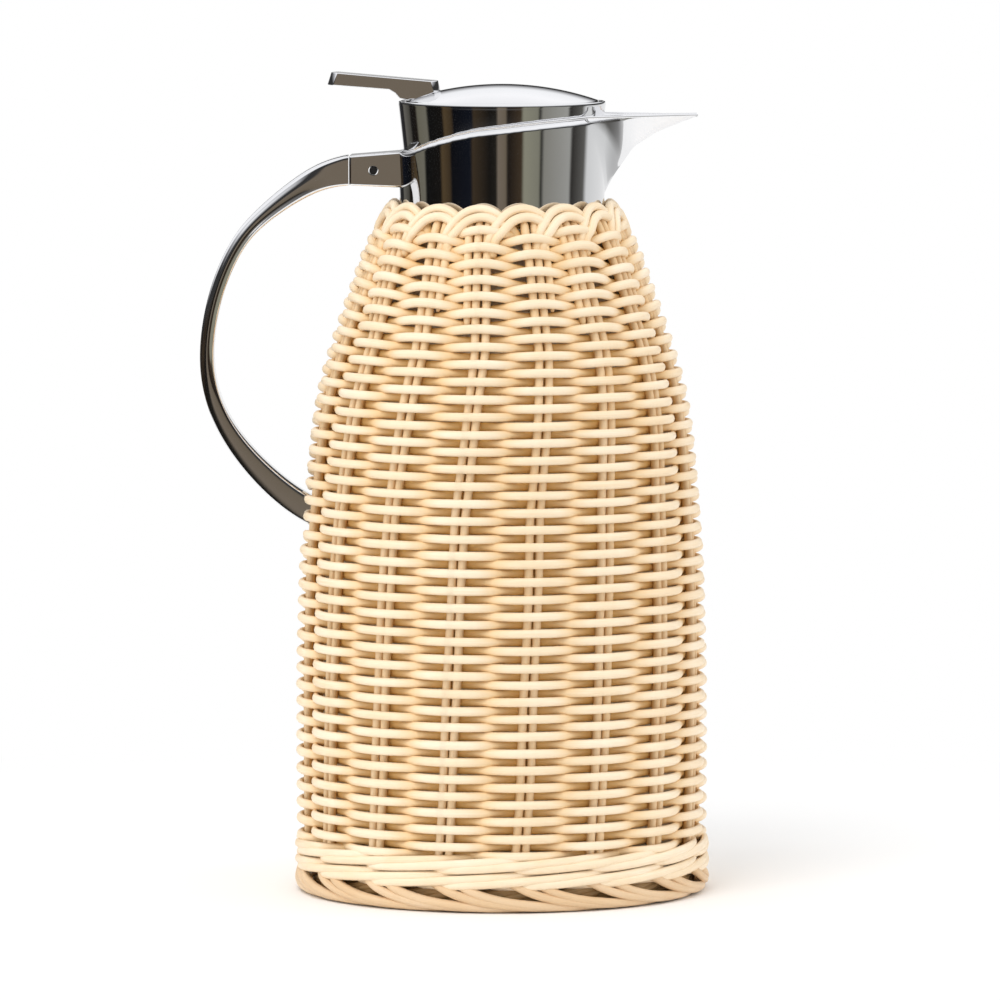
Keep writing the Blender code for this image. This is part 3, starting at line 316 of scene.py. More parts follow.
# Light from above and below in what shines, by (1 + sine of the height angle) / 2, and how much of it
SKY_COLOURS = (
    (0.0, (0.8, 0.8, 0.8)),
    (0.22, (0.6, 0.6, 0.6)),
    (0.36, (0.14, 0.14, 0.14)),
    (0.45, (0.04, 0.04, 0.04)),
    (0.575, (0.03, 0.03, 0.03)),
    (0.6, (0.25, 0.25, 0.26)),
    (0.66, (0.85, 0.86, 0.88)),
    (0.75, (0.95, 0.95, 0.97)),
    (0.87, (0.85, 0.86, 0.88)),
    (1.0, (0.88, 0.88, 0.9)),
)
SKY_SHARES = (
    (0.0, (1.0, 1.0, 1.0)),
    (0.25, (1.0, 1.0, 1.0)),
    (0.37, (0.0, 0.0, 0.0)),
    (0.505, (0.0, 0.0, 0.0)),
    (0.53, (1.0, 1.0, 1.0)),
    (1.0, (1.0, 1.0, 1.0)),
)

# Camera, and the width that it sees at its target
CAMERA_DISTANCE = 3.3
CAMERA_HEIGHT = 0.43
TARGET = (-0.0008, 0.0, 0.1542)
FRAME_WIDTH = 0.3953
SENSOR = 36.0


# ---------------------------------------------------------------- helpers


def between(table, x):
    """The value of a table of (x, value) at x, on straight lines between its rows."""
    index = min(max(bisect.bisect([row[0] for row in table], x), 1), len(table) - 1)
    (x0, y0), (x1, y1) = table[index - 1], table[index]
    return y0 + (y1 - y0) * (x - x0) / (x1 - x0)


def smooth(points, steps):
    """A Catmull-Rom curve through the given vectors."""
    line = [2 * points[0] - points[1], *points, 2 * points[-1] - points[-2]]
    out = [points[0]]
    for a, b, c, d in zip(line, line[1:], line[2:], line[3:]):
        for step in range(1, steps + 1):
            t = step / steps
            bend = (2 * a - 5 * b + 4 * c - d) * t + (3 * b - a - 3 * c + d) * t * t
            out.append(b + (c - a + bend) * t / 2)
    return out


def outline(*names):
    """(z, outer radius) of turned CAD nodes, lowest first, from the heights where they have a full ring."""
    rows = {}
    for name in names:
        for vertex in NODES[name].data.vertices:
            rows.setdefault(round(vertex.co.z, 5), []).append(math.hypot(vertex.co.x, vertex.co.y))
    return sorted((z, max(radii)) for z, radii in rows.items() if len(radii) >= FEWEST_IN_RING)


def around(angle, radius, z):
    """The point at an angle round the jug from its front."""
    turn = math.radians(angle)
    return Vector((radius * math.sin(turn), -radius * math.cos(turn), z))


def new_piece(name, vertices, faces, material, body, smooth_angle=40):
    """A smooth-shaded object that rides on a body. A piece to be blended has none."""
    mesh = bpy.data.meshes.new(name)
    mesh.from_pydata(vertices, [], faces)
    mesh.validate()
    mesh.update()
    mesh.shade_smooth()
    if smooth_angle < 180:
        mesh.set_sharp_from_angle(angle=math.radians(smooth_angle))
    mesh.materials.append(material)
    obj = bpy.data.objects.new(name, mesh)
    bpy.context.scene.collection.objects.link(obj)
    if body:
        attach(obj, body)
    return obj


# ---------------------------------------------------------------- materials


class Nodes:
    """Short ways to add nodes to a tree."""

    def __init__(self, tree):
        self.nodes = tree.nodes
        self.links = tree.links

    def node(self, kind, *links, **values):
        """A node with its settings and its inputs: a keyword sets a property, a link joins a socket."""
        node = self.nodes.new(kind)
        for key, value in values.items():
            setattr(node, key, value)
        for socket, source in links:
            if isinstance(source, (int, float, tuple)):
                node.inputs[socket].default_value = source
            else:
                self.links.new(source, node.inputs[socket])
        return node

    def maths(self, operation, first, second):
        """Two values combined by a math operation."""
        return self.node("ShaderNodeMath", (0, first), (1, second), operation=operation).outputs[0]

    def ramp(self, source, *stops):
        node = self.node("ShaderNodeValToRGB", ("Fac", source))
        points = node.color_ramp.elements
        while len(points) < len(stops):
            points.new(0.5)
        for point, (position, colour) in zip(points, stops):
            point.position = position
            point.color = (*colour, 1)
        return node.outputs["Color"]

    def spread(self, source, low, high):
        """A 0 to 1 value mapped to low to high."""
        links = [("Value", source), ("To Min", low), ("To Max", high)]
        return self.node("ShaderNodeMapRange", *links).outputs["Result"]

    def share(self, source, low, high, **values):
        """A value from low to high mapped to 0 to 1."""
        links = [("Value", source), ("From Min", low), ("From Max", high)]
        return self.node("ShaderNodeMapRange", *links, **values).outputs["Result"]


class Shader(Nodes):
    """A Principled material."""

    def __init__(self, name, colour, roughness, metallic=0.0, **others):
        self.material = bpy.data.materials.new(name)
        self.material.use_nodes = True
        super().__init__(self.material.node_tree)
        self.main = self.nodes["Principled BSDF"]
        self.main.inputs["Base Color"].default_value = (*colour, 1)
        self.main.inputs["Roughness"].default_value = roughness
        self.main.inputs["Metallic"].default_value = metallic
        for socket, value in others.items():
            self.main.inputs[socket].default_value = value

    def join(self, source, socket):
        self.links.new(source, self.main.inputs[socket])

    def noise(self, vector, scale, detail=3.0):
        links = [("Scale", scale), ("Detail", detail), ("Roughness", 0.55), ("Vector", vector)]
        return self.node("ShaderNodeTexNoise", *links).outputs["Fac"]

    def bump(self, height, distance, strength):
        links = [("Height", height), ("Distance", distance), ("Strength", strength)]
        self.join(self.node("ShaderNodeBump", *links).outputs["Normal"], "Normal")

    def place(self):
        return self.node("ShaderNodeTexCoord").outputs["Object"]


def wicker_material(name, light, middle, dark, deep):
    """Polished cane. The strand attribute holds metres along it, the way round it and its own tone.

    The depth attribute is how far a point lies under the weave's outside; shade is painted there, turning
    the cane browner with depth.
    """
    shader = Shader(name, middle, 0.42, **{"Specular IOR Level": 0.4})
    strand = shader.node("ShaderNodeAttribute", attribute_name="strand").outputs["Vector"]
    parts = shader.node("ShaderNodeSeparateXYZ", ("Vector", strand)).outputs
    along = shader.maths("MULTIPLY", parts["X"], FIBRE_SCALE[0])
    across = shader.maths("MULTIPLY", parts["Y"], FIBRE_SCALE[1])
    seed = shader.maths("MULTIPLY", parts["Z"], FIBRE_SCALE[2])
    fibre = shader.node("ShaderNodeCombineXYZ", ("X", along), ("Y", across), ("Z", seed)).outputs[0]
    grain = shader.noise(fibre, 1.6, 4.0)
    patches = shader.noise(shader.place(), 55.0, 2.0)
    own = shader.spread(parts["Z"], 0.34, 0.66)
    tone = shader.maths("ADD", shader.maths("ADD", own, grain), patches)
    tone = shader.maths("DIVIDE", tone, 3.0)
    colour = shader.ramp(tone, (0.36, dark), (0.5, middle), (0.62, light))
    # painted shade: the colour darkens towards the deep colour with depth under the weave's outside
    depth = shader.node("ShaderNodeAttribute", attribute_name="depth").outputs["Fac"]
    sunk_shade = shader.share(depth, *PAINTED_SHADE_DEPTHS)
    mixed = shader.node("ShaderNodeMix", (0, sunk_shade), (6, colour), (7, (*deep, 1)), data_type="RGBA")
    shader.join(mixed.outputs[2], "Base Color")
    shader.join(shader.spread(grain, 0.34, 0.5), "Roughness")
    links = [("Vector", fibre), ("Scale", 6.0), ("Distortion", 2.0)]
    ridges = shader.node("ShaderNodeTexWave", *links).outputs["Fac"]
    shader.bump(shader.maths("ADD", ridges, grain), 0.05 * MM, 0.5)
    return shader.material


def chrome_material(name, colour=(0.88, 0.88, 0.89), roughness=0.045):
    """Bright plating with faint polishing marks and a few soft smudges."""
    shader = Shader(name, colour, roughness, 1.0)
    place = shader.place()
    smudge = shader.noise(place, 38.0, 3.0)
    shader.join(shader.spread(smudge, roughness * 0.5, roughness * 1.9), "Roughness")
    shader.join(shader.ramp(smudge, (0.2, tuple(0.94 * c for c in colour)), (0.8, colour)), "Base Color")
    shader.bump(shader.noise(place, 900.0, 2.0), 0.00001, 0.12)
    return shader.material


def metal_material(name, colour, roughness):
    """Turned or drawn steel: fine marks and uneven polish."""
    shader = Shader(name, colour, roughness, 1.0)
    place = shader.place()
    marks = shader.noise(place, 1500.0, 2.0)
    shader.join(shader.spread(shader.noise(place, 120.0), 0.7 * roughness, 1.3 * roughness), "Roughness")
    shader.join(shader.ramp(marks, (0.3, tuple(0.8 * c for c in colour)), (0.7, colour)), "Base Color")
    shader.bump(marks, 0.00001, 0.3)
    return shader.material


def plastic_material(name, colour, roughness, grain=0.00002):
    """Moulded plastic with a fine spark-eroded grain."""
    shader = Shader(name, colour, roughness)
    place = shader.place()
    fine = shader.noise(place, 2600.0, 2.0)
    shader.join(shader.spread(shader.noise(place, 60.0), 0.85 * roughness, 1.15 * roughness), "Roughness")
    shade = shader.ramp(shader.noise(place, 25.0), (0.3, tuple(0.88 * c for c in colour)), (0.7, colour))
    shader.join(shade, "Base Color")
    shader.bump(fine, grain, 0.5)
    return shader.material


def liner_material(name):
    """Silvered glass: a mirror behind a faintly greenish, slightly wavy surface."""
    shader = Shader(name, (0.8, 0.83, 0.83), 0.06, 1.0, **{"Coat Weight": 0.5, "Coat Roughness": 0.03})
    place = shader.place()
    waves = shader.noise(place, 22.0, 2.0)
    shader.join(shader.ramp(waves, (0.3, (0.72, 0.77, 0.76)), (0.7, (0.86, 0.88, 0.87))), "Base Color")
    shader.bump(waves, 0.0004, 0.25)
    return shader.material


def make_materials():
    return {
        "wicker": wicker_material("wicker", *CANE),
        # the foot braid's cane, painted darker as shade
        "wicker_foot": wicker_material("wicker_foot", *SHADED_FOOT_CANE),
        # painted shade: the dark cane of the inner foot rods
        "wicker_inner_shade": wicker_material("wicker_inner_shade", *INNER_SHADE_CANE),
        "chrome": chrome_material("chrome"),
        "casing_plastic": plastic_material("casing_plastic", (0.8, 0.7, 0.53), 0.45),
        "dark_plastic": plastic_material("dark_plastic", (0.03, 0.03, 0.03), 0.4),
        "silvered_glass": liner_material("silvered_glass"),
        "rubber": plastic_material("rubber", (0.045, 0.045, 0.045), 0.75, 0.00005),
        "steel": metal_material("steel", (0.6, 0.6, 0.6), 0.28),
        "dark_steel": metal_material("dark_steel", (0.09, 0.09, 0.09), 0.35),
    }


def paint_cad_nodes(materials):
    """Gives each CAD node the material of its slot."""
    for row in RECORD["subparts"]:
        obj = NODES[row["node"]]
        obj.data.materials.clear()
        obj.data.materials.append(materials[row["material_slot"]])
        obj.data.shade_smooth()
        obj.data.set_sharp_from_angle(angle=math.radians(30))


# ---------------------------------------------------------------- jacket


class Strands:
    """Swept rods collected into one mesh, with the attributes that their material reads.

    outer gives the weave's outside radius at a height, from which the depth attribute is measured.
    """

    def __init__(self, sides, outer=lambda z: 0.0):
        self.sides = sides
        self.outer = outer
        self.vertices, self.faces, self.notes, self.depths = [], [], [], []

    def add(self, path, flat, tall, tone, closed=False, taper=0):
        """A rod of elliptical section along a path: flat is its half size towards the jug's axis.

        An open rod narrows over its first and last points, as many as taper says.
        """
        first = len(self.vertices)
        count = len(path)
        length = 0.0
        for i, point in enumerate(path):
            if i:
                length += (point - path[i - 1]).length
            ahead = path[(i + 1) % count] if closed else path[min(i + 1, count - 1)]
            behind = path[i - 1] if closed or i else path[0]
            forward = (ahead - behind).normalized()
            out = Vector((point.x, point.y, 0)).normalized()
            out = (out - out.dot(forward) * forward).normalized()
            side = forward.cross(out)
            size = 1.0
            if not closed and taper:
                end = min(i, count - 1 - i)
                size = math.sqrt(min(1.0, (end + 0.25) / taper))
            for k in range(self.sides):
                turn = 2 * math.pi * k / self.sides
                offset = out * (flat * size * math.cos(turn)) + side * (tall * size * math.sin(turn))
                self.vertices.append(point + offset)
                self.notes.append((length, abs(2 * k / self.sides - 1), tone))
                self.depths.append(self.outer(point.z) - (point + offset).xy.length)
        for i in range(count if closed else count - 1):
            a = first + i * self.sides
            b = first + ((i + 1) % count) * self.sides
            for k in range(self.sides):
                n = (k + 1) % self.sides
                self.faces.append((a + k, a + n, b + n, b + k))
        if not closed:
            last = first + (count - 1) * self.sides
            self.faces.append(tuple(first + k for k in range(self.sides))[::-1])
            self.faces.append(tuple(last + k for k in range(self.sides)))

    def piece(self, name, material):
        obj = new_piece(name, self.vertices, self.faces, material, "jug", 180)
        attribute = obj.data.attributes.new("strand", "FLOAT_VECTOR", "POINT")
        attribute.data.foreach_set("vector", [value for note in self.notes for value in note])
        depth = obj.data.attributes.new("depth", "FLOAT", "POINT")
        depth.data.foreach_set("value", self.depths)
        return obj


def jacket_tables():
    """Functions for the jacket's outer radius and the middle of its thickness at a height."""
    rows = outline("wicker_foot", "wicker_wale", "wicker_side")
    rows = [row for row in rows if row[0] > LOWEST_RING]
    rim = outline("wicker_rim")
    rows += [row for row in rim if row[0] > rows[-1][0] and row[1] > RIM_INSIDE]

    def outer(z):
        even = sum(between(rows, z + shift) for shift in EVENING_SHIFTS) / len(EVENING_SHIFTS)
        return even + between(PROUD, z) * MM

    depth = WEAVER_FLAT * 4 + STAKE_RADIUS * 2
    return outer, lambda z: outer(z) - depth / 2


def column_angle(column, z):
    """The angle of a column of stakes at a height."""
    return column * COLUMN_STEP + between(LEAN, z)


def make_rows(outer, middle, material):
    """The plain weave: each row passes over one column and under the next, and the row above swaps them."""
    chance = random.Random(3)
    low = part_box("wicker_side")[0].z - ROWS_BELOW
    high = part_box("wicker_side")[1].z + ROWS_ABOVE
    levels = [low]
    while levels[-1] < high:
        levels.append(levels[-1] + ROW_PITCH * between(CLOSING, levels[-1]))
    swing = WEAVER_FLAT + STAKE_RADIUS
    handle_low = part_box("handle")[0].z - WEAVER_TALL
    handle_high = handle_low + FOOT_GAP_HEIGHT
    groups = [Strands(10, outer) for _ in range(4)]
    for row, level in enumerate(levels):
        z_row = level + chance.uniform(-0.1, 0.1) * MM
        arch = between(ARCH, z_row) * MM
        tone = chance.random()
        thick = chance.uniform(0.97, 1.04) * between(SWELLING, z_row)
        jitter = [chance.uniform(-0.2, 0.2) * MM for _ in range(COLUMNS)]
        path = []
        for step in range(COLUMNS * STEPS_PER_COLUMN):
            place = step / STEPS_PER_COLUMN
            column, part = int(place), place - int(place)
            swell = math.cos(math.pi * (place + (row + 1) % 2))
            wave = math.tanh(WAVE_FLATNESS * swell) / math.tanh(WAVE_FLATNESS)
            lift = jitter[column] * (1 - part) + jitter[(column + 1) % COLUMNS] * part
            z = z_row + lift + arch * swell
            radius = middle(z) + swing * wave
            path.append(around(column_angle(place, z), radius, z))
        group = groups[row * len(groups) // len(levels)]
        if handle_low < z_row < handle_high:
            add_broken_row(group, path, thick, tone)
        else:
            group.add(path, WEAVER_FLAT * thick, WEAVER_TALL * thick, tone, closed=True)
    for number, group in enumerate(groups, 1):
        piece = group.piece(f"wicker_rows_{number}", material)
        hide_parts("wicker_side")


def add_broken_row(group, path, thick, tone):
    """A row that ends on both sides of the handle's foot, where its ends turn in."""
    clear = HANDLE_HALF_WIDTH + STRAP_CLEARANCE
    kept = [point for point in path if not (point.x < 0 and abs(point.y) < clear)]
    split = max(range(len(kept)), key=lambda i: (kept[i] - kept[i - 1]).length)
    kept = kept[split:] + kept[:split]
    for end in (0, -1):
        tucked = kept[end].copy()
        tucked.x *= TUCK
        tucked.y = math.copysign(clear - STRAP_CLEARANCE / 2, tucked.y)
        kept.insert(0 if end == 0 else len(kept), tucked)
    group.add(kept, WEAVER_FLAT * thick, WEAVER_TALL * thick, tone, taper=2)


def make_stakes(outer, middle, material):
    """Paired upright rods, with a third beside them towards the top."""
    chance = random.Random(5)
    low = STAKES_START
    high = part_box("wicker_rim")[1].z - STAKES_BELOW_RIM
    strands = Strands(8, outer)
    for column in range(COLUMNS):
        for shift, start in ((-0.5, low), (0.5, low), THIRD_STAKES[column % 2]):
            path = []
            count = int((high - start) / STAKE_STEP)
            wobble = chance.uniform(0, 6)
            for step in range(count + 1):
                z = start + (high - start) * step / count
                angle = column_angle(column, z)
                sideways = shift * STAKE_SPACING + 0.15 * MM * math.sin(z * 90 + wobble)
                angle += math.degrees(sideways / middle(z))
                path.append(around(angle, middle(z), z))
            radius = STAKE_RADIUS * chance.uniform(0.95, 1.03)
            strands.add(path, radius, radius, chance.random(), taper=2)
    piece = strands.piece("wicker_stakes", material)
    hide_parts("wicker_side")


def make_rim_braid(outer, material):
    """The top border: each column's two rods arch over the next column and dive behind its rods."""
    chance = random.Random(8)
    rim_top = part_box("wicker_rim")[1].z
    strands = Strands(10, outer)
    for column in range(COLUMNS):
        tilt = chance.uniform(-0.5, 0.5)
        for turn, drop in RIM_PAIR:
            points = []
            for angle, below, inset in RIM_ROUTE:
                lower = drop * (1 if below < RIM_NEAR_TOP else RIM_DEEP_SHARE)
                z = rim_top - (below + lower) * MM
                here = column_angle(column, z) + turn + angle * (1 - RIM_SHORTENING * drop) + tilt
                points.append(around(here, outer(z) - inset * MM, z))
            size = BORDER_ROD * chance.uniform(0.97, 1.04)
            strands.add(smooth(points, 5), size, size, chance.random(), taper=2)
    piece = strands.piece("wicker_rim_braid", material)
    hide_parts("wicker_rim")


def make_waling(outer, middle, material):
    """Two bands of long strokes, each over two columns and rising as it goes, then in behind the next."""
    chance = random.Random(11)
    strands = Strands(10, outer)
    proud = outer(WALE_Z) - WALE_INSET
    inner = middle(WALE_Z)
    for start_z in WALE_STARTS:
        for column in range(COLUMNS):
            tone = chance.random()
            points = []
            for angle, rise, out in WALE_ROUTE:
                z = start_z + WALE_RISE * rise
                radius = inner + out * (proud - inner)
                points.append(around(column_angle(column, z) + angle, radius, z))
            size = WALE_ROD * chance.uniform(0.95, 1.05)
            strands.add(smooth(points, 6), size * WALE_THINNING, size, tone, taper=2)
    piece = strands.piece("wicker_waling", material)
    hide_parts("wicker_wale")


def foot_points(column, turn, radius, route):
    """The middle line of one of a column's foot rods."""
    start = column_angle(column, 0.0) + turn
    return [around(start + angle, radius - inset * MM, z * MM) for angle, z, inset in route]


def make_foot_braid(outer, material, inner_shade_material):
    """The foot border: paired rods that sweep down and round, in a cane painted darker as shade, over an
    inner layer of rods painted darker still as shade.
    """
    chance = random.Random(13)
    foot_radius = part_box("wicker_foot")[1].x
    strands = Strands(10, outer)
    for column in range(COLUMNS):
        for turn in FOOT_TURNS:
            tone = chance.random()
            points = foot_points(column, turn, foot_radius + FOOT_SWELL, FOOT_ROUTE)
            size = FOOT_ROD * chance.uniform(0.94, 1.03)
            strands.add(smooth(points, 6), size, size, tone, taper=2)
    piece = strands.piece("wicker_foot_braid", material)
    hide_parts("wicker_foot")
    inner = Strands(8, outer)
    for column in range(COLUMNS):
        for turn in FOOT_INNER_TURNS:
            tone = chance.random()
            points = foot_points(column, turn, foot_radius, FOOT_INNER_ROUTE)
            inner.add(smooth(points, 4), STAKE_RADIUS, STAKE_RADIUS, tone, taper=2)
    inner.piece("wicker_foot_inner", inner_shade_material)


# ---------------------------------------------------------------- chromed head

LIP_CURVE = smooth([Vector(row) * MM for row in LIP_LINE], 12)


def turned(name, profile, material, body):
    """A profile of (radius, z) turned about the jug's axis."""
    vertices, faces = [], []
    count = len(profile)
    for step in range(TURNED_SEGMENTS):
        turn = 2 * math.pi * step / TURNED_SEGMENTS
        vertices += [(r * math.cos(turn), r * math.sin(turn), z) for r, z in profile]
    for step in range(TURNED_SEGMENTS):
        a, b = step * count, (step + 1) % TURNED_SEGMENTS * count
        for i in range(count - 1):
            faces.append((a + i, a + i + 1, b + i + 1, b + i))
    obj = new_piece(name, vertices, faces, material, body)
    bm = bmesh.new()
    bm.from_mesh(obj.data)
    bmesh.ops.remove_doubles(bm, verts=bm.verts, dist=0.000001)
    bmesh.ops.recalc_face_normals(bm, faces=bm.faces)
    bm.to_mesh(obj.data)
    bm.free()
    return obj


def rounded(points, radius, steps=5):
    """An outline whose inner corners are rounded off."""
    out = [points[0]]
    for before, corner, after in zip(points, points[1:], points[2:]):
        before, corner, after = Vector(before), Vector(corner), Vector(after)
        reach = min(radius, 0.45 * (before - corner).length, 0.45 * (after - corner).length)
        start = corner + (before - corner).normalized() * reach
        end = corner + (after - corner).normalized() * reach
        for step in range(steps + 1):
            t = step / steps
            out.append(tuple(start * (1 - t) ** 2 + corner * 2 * t * (1 - t) + end * t * t))
    return out + [points[-1]]


def lip_z(x):
    """The lip's height at the nearest point of its curve."""
    return min(LIP_CURVE, key=lambda point: abs(point[0] - x))[1]


def make_collar(material):
    """The pouring collar: one sheet from its foot to its slanted lip, drawn out into the beak."""
    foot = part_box("collar")[0].z
    foot_radius = -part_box("collar_screw_2")[0].x - SCREW_HEAD_DEPTH
    straight = foot + COLLAR_STRAIGHT

    def radius_at(z):
        return foot_radius + COLLAR_FLARE * max(0.0, (z - straight) / (BEAK_LIP_Z - straight))

    side_steps, beak_steps, rises = 60, 22, 12
    angles = [-180 + (180 - BEAK_HALF_ANGLE) * i / side_steps for i in range(side_steps)]
    angles += [-BEAK_HALF_ANGLE + 2 * BEAK_HALF_ANGLE * i / beak_steps for i in range(beak_steps)]
    angles += [BEAK_HALF_ANGLE + (180 - BEAK_HALF_ANGLE) * i / side_steps for i in range(side_steps)]
    vertices, faces, columns = [], [], []
    stations = smooth([Vector(row) * MM for row in BEAK_LINE], 3)
    for angle in angles:
        across = angle / BEAK_HALF_ANGLE
        turn = math.radians(angle)
        if abs(across) >= 1:
            top = lip_z(radius_at(MEAN_LIP_Z) * math.cos(turn))
        else:
            top = KEEL_ROOT_Z + (BEAK_LIP_Z - KEEL_ROOT_Z) * abs(across) ** CREASE_POWER
        column = []
        for step in range(rises + 1):
            z = foot + (top - foot) * step / rises
            column.append((radius_at(z) * math.cos(turn), radius_at(z) * math.sin(turn), z))
        if abs(across) <= 1:
            column += beak_points(column[-1], across, stations)
        columns.append((len(vertices), len(column)))
        vertices += column
    for (a, a_count), (b, b_count) in zip(columns, columns[1:] + columns[:1]):
        for i in range(min(a_count, b_count) - 1):
            faces.append((a + i, b + i, b + i + 1, a + i + 1))
    collar = new_piece("collar_shell", vertices, faces, material, "jug", 38)
    shell = collar.modifiers.new("wall", "SOLIDIFY")
    shell.thickness = COLLAR_SHEET
    shell.offset = -1
    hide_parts("collar")
    edge = [Vector(vertices[first + count - 1]) for first, count in columns]
    make_lip_bead(edge, material)


def beak_points(root, across, stations):
    """Points from the collar's wall out along the beak, for a share of its width from -1 to 1."""
    points = []
    flank_steps = 5
    rise = abs(across) ** CREASE_POWER
    targets = []
    for x, half_width, keel in stations:
        targets.append(Vector((x, half_width * across, keel + (BEAK_LIP_Z - keel) * rise)))
    for step in range(1, flank_steps):
        t = step / flank_steps
        sag = BEAK_SAG * math.sin(math.pi * t) * (1 - 0.5 * abs(across))
        point = Vector(root).lerp(targets[0], t)
        point.x -= sag * 0.5
        point.y -= math.copysign(sag, across) * abs(across)
        points.append(tuple(point))
    points += [tuple(target) for target in targets]
    return points


def make_lip_bead(edge, material):
    """The rounded bead along the lip, fuller towards the spout."""
    tube = Strands(10)
    path = [point for before, point in zip(edge[-1:] + edge, edge) if (point - before).length > 0.1 * MM]
    dense = []
    for a, b in zip(path, path[1:] + path[:1]):
        steps = max(1, round((b - a).length / LIP_BEAD_STEP))
        dense += [a.lerp(b, step / steps) for step in range(steps)]
    tube.add(dense, MM, MM, 0.5, closed=True)
    for i, point in enumerate(dense):
        size = between(LIP_BEAD, point.x / MM)
        for index in range(i * tube.sides, (i + 1) * tube.sides):
            tube.vertices[index] = point + (tube.vertices[index] - point) * size
    bead = new_piece("collar_lip_bead", tube.vertices, tube.faces, material, "jug", 180)


def make_lug(material):
    """The block behind the collar that takes the handle's end, with the hole for its pin."""
    rear_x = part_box("collar")[0].x
    pin_low, pin_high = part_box("handle_pin")
    middle_z = (pin_low.z + pin_high.z) / 2
    pin_x = (pin_low.x + pin_high.x) / 2
    corners = []
    for x, below, above in ((rear_x, 5.9 * MM, 5.9 * MM), (LUG_ROOT_X, 6.7 * MM, 7.6 * MM)):
        for y in (-HANDLE_HALF_WIDTH, HANDLE_HALF_WIDTH):
            corners += [(x, y, middle_z - below), (x, y, middle_z + above)]
    faces = [(0, 1, 3, 2), (4, 6, 7, 5), (0, 4, 5, 1), (2, 3, 7, 6), (1, 5, 7, 3), (0, 2, 6, 4)]
    lug = new_piece("collar_lug", corners, faces, material, "jug", 35)
    bevel = lug.modifiers.new("edges", "BEVEL")
    bevel.width = 0.8 * MM
    bevel.segments = 5
    hole = bpy.data.meshes.new("pin_hole")
    bm = bmesh.new()
    size = {"radius1": PIN_HOLE_RADIUS, "radius2": PIN_HOLE_RADIUS, "depth": 4 * HANDLE_HALF_WIDTH}
    bmesh.ops.create_cone(bm, cap_ends=True, segments=40, **size)
    bm.to_mesh(hole)
    bm.free()
    cutter = bpy.data.objects.new("pin_hole", hole)
    cutter.location = (pin_x, 0, middle_z)
    cutter.rotation_euler = (math.pi / 2, 0, 0)
    bpy.context.scene.collection.objects.link(cutter)
    cut = lug.modifiers.new("hole", "BOOLEAN")
    cut.object = cutter
    apply_modifiers(lug)
    bpy.data.objects.remove(cutter)


def apply_modifiers(obj):
    """Puts the evaluated mesh in place of the mesh and its modifiers, with its large faces left flat."""
    bpy.context.view_layer.update()
    graph = bpy.context.evaluated_depsgraph_get()
    mesh = bpy.data.meshes.new_from_object(obj.evaluated_get(graph))
    obj.modifiers.clear()
    obj.data = mesh
    mesh.shade_smooth()
    mesh.set_sharp_from_angle(angle=math.radians(35))
    for face in mesh.polygons:
        face.use_smooth = face.area < FLAT_AREA


def make_handle(material):
    """The strap handle: a rounded rectangular bar that thins and thickens along one smooth bow."""
    lug_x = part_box("collar")[0].x - 0.3 * MM
    line = [Vector(row) * MM for row in HANDLE_LINE]
    start_z = (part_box("handle_pin")[0].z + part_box("handle_pin")[1].z) / 2
    line.insert(0, Vector((lug_x, start_z, HANDLE_END)))
    foot_x = HANDLE_SINK - outline("casing")[CASING_RING][1]
    plate_low, plate_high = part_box("handle_plate")
    line.append(Vector((foot_x, (plate_low.z + plate_high.z) / 2, HANDLE_FOOT)))
    line = smooth(line, 8)
    for _ in range(SMOOTHINGS):
        inside = [(a + 2 * b + c) / 4 for a, b, c in zip(line, line[1:], line[2:])]
        line = [line[0], *inside, line[-1]]
    per_corner, per_side = 5, 8
    vertices, faces = [], []
    for i, point in enumerate(line):
        share = i / (len(line) - 1)
        before, after = line[max(i - 1, 0)], line[min(i + 1, len(line) - 1)]
        along = Vector((after.x - before.x, 0, after.y - before.y)).normalized()
        if i == 0:
            along = Vector((-1, 0, 0))
        normal = Vector((-along.z, 0, along.x))
        half = point.z / 2
        round_off = between(HANDLE_ROUNDING, share) * point.z
        crown = between(HANDLE_CROWN, share)
        centre = Vector((point.x, 0, point.y))
        reach = half - round_off
        edge = HANDLE_HALF_WIDTH - crown * half
        for side in (1, -1):
            for step in range(per_corner):
                turn = math.pi / 2 * (1 - step / per_corner)
                n = side * (reach + round_off * math.sin(turn))
                y = side * (edge - round_off + round_off * math.cos(turn))
                vertices.append(centre + normal * n + Vector((0, y, 0)))
            for step in range(per_side + 1):
                height = 1 - 2 * step / per_side
                y = side * (edge + crown * half * (1 - height * height))
                vertices.append(centre + normal * (side * height * reach) + Vector((0, y, 0)))
            for step in range(1, per_corner + 1):
                turn = math.pi / 2 * step / per_corner
                n = side * (-reach - round_off * math.sin(turn))
                y = side * (edge - round_off + round_off * math.cos(turn))
                vertices.append(centre + normal * n + Vector((0, y, 0)))
    ring = 2 * (2 * per_corner + per_side + 1)
    for i in range(len(line) - 1):
        for k in range(ring):
            n = (k + 1) % ring
            faces.append((i * ring + k, i * ring + n, (i + 1) * ring + n, (i + 1) * ring + k))
    faces.append(tuple(range(ring))[::-1])
    faces.append(tuple((len(line) - 1) * ring + k for k in range(ring)))
    handle = new_piece("handle_strap", vertices, faces, material, "jug", 50)
    fix_normals(handle)
    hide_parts("handle")


def fix_normals(obj):
    """Turns all faces outwards."""
    bm = bmesh.new()
    bm.from_mesh(obj.data)
    bmesh.ops.recalc_face_normals(bm, faces=bm.faces)
    bm.to_mesh(obj.data)
    bm.free()


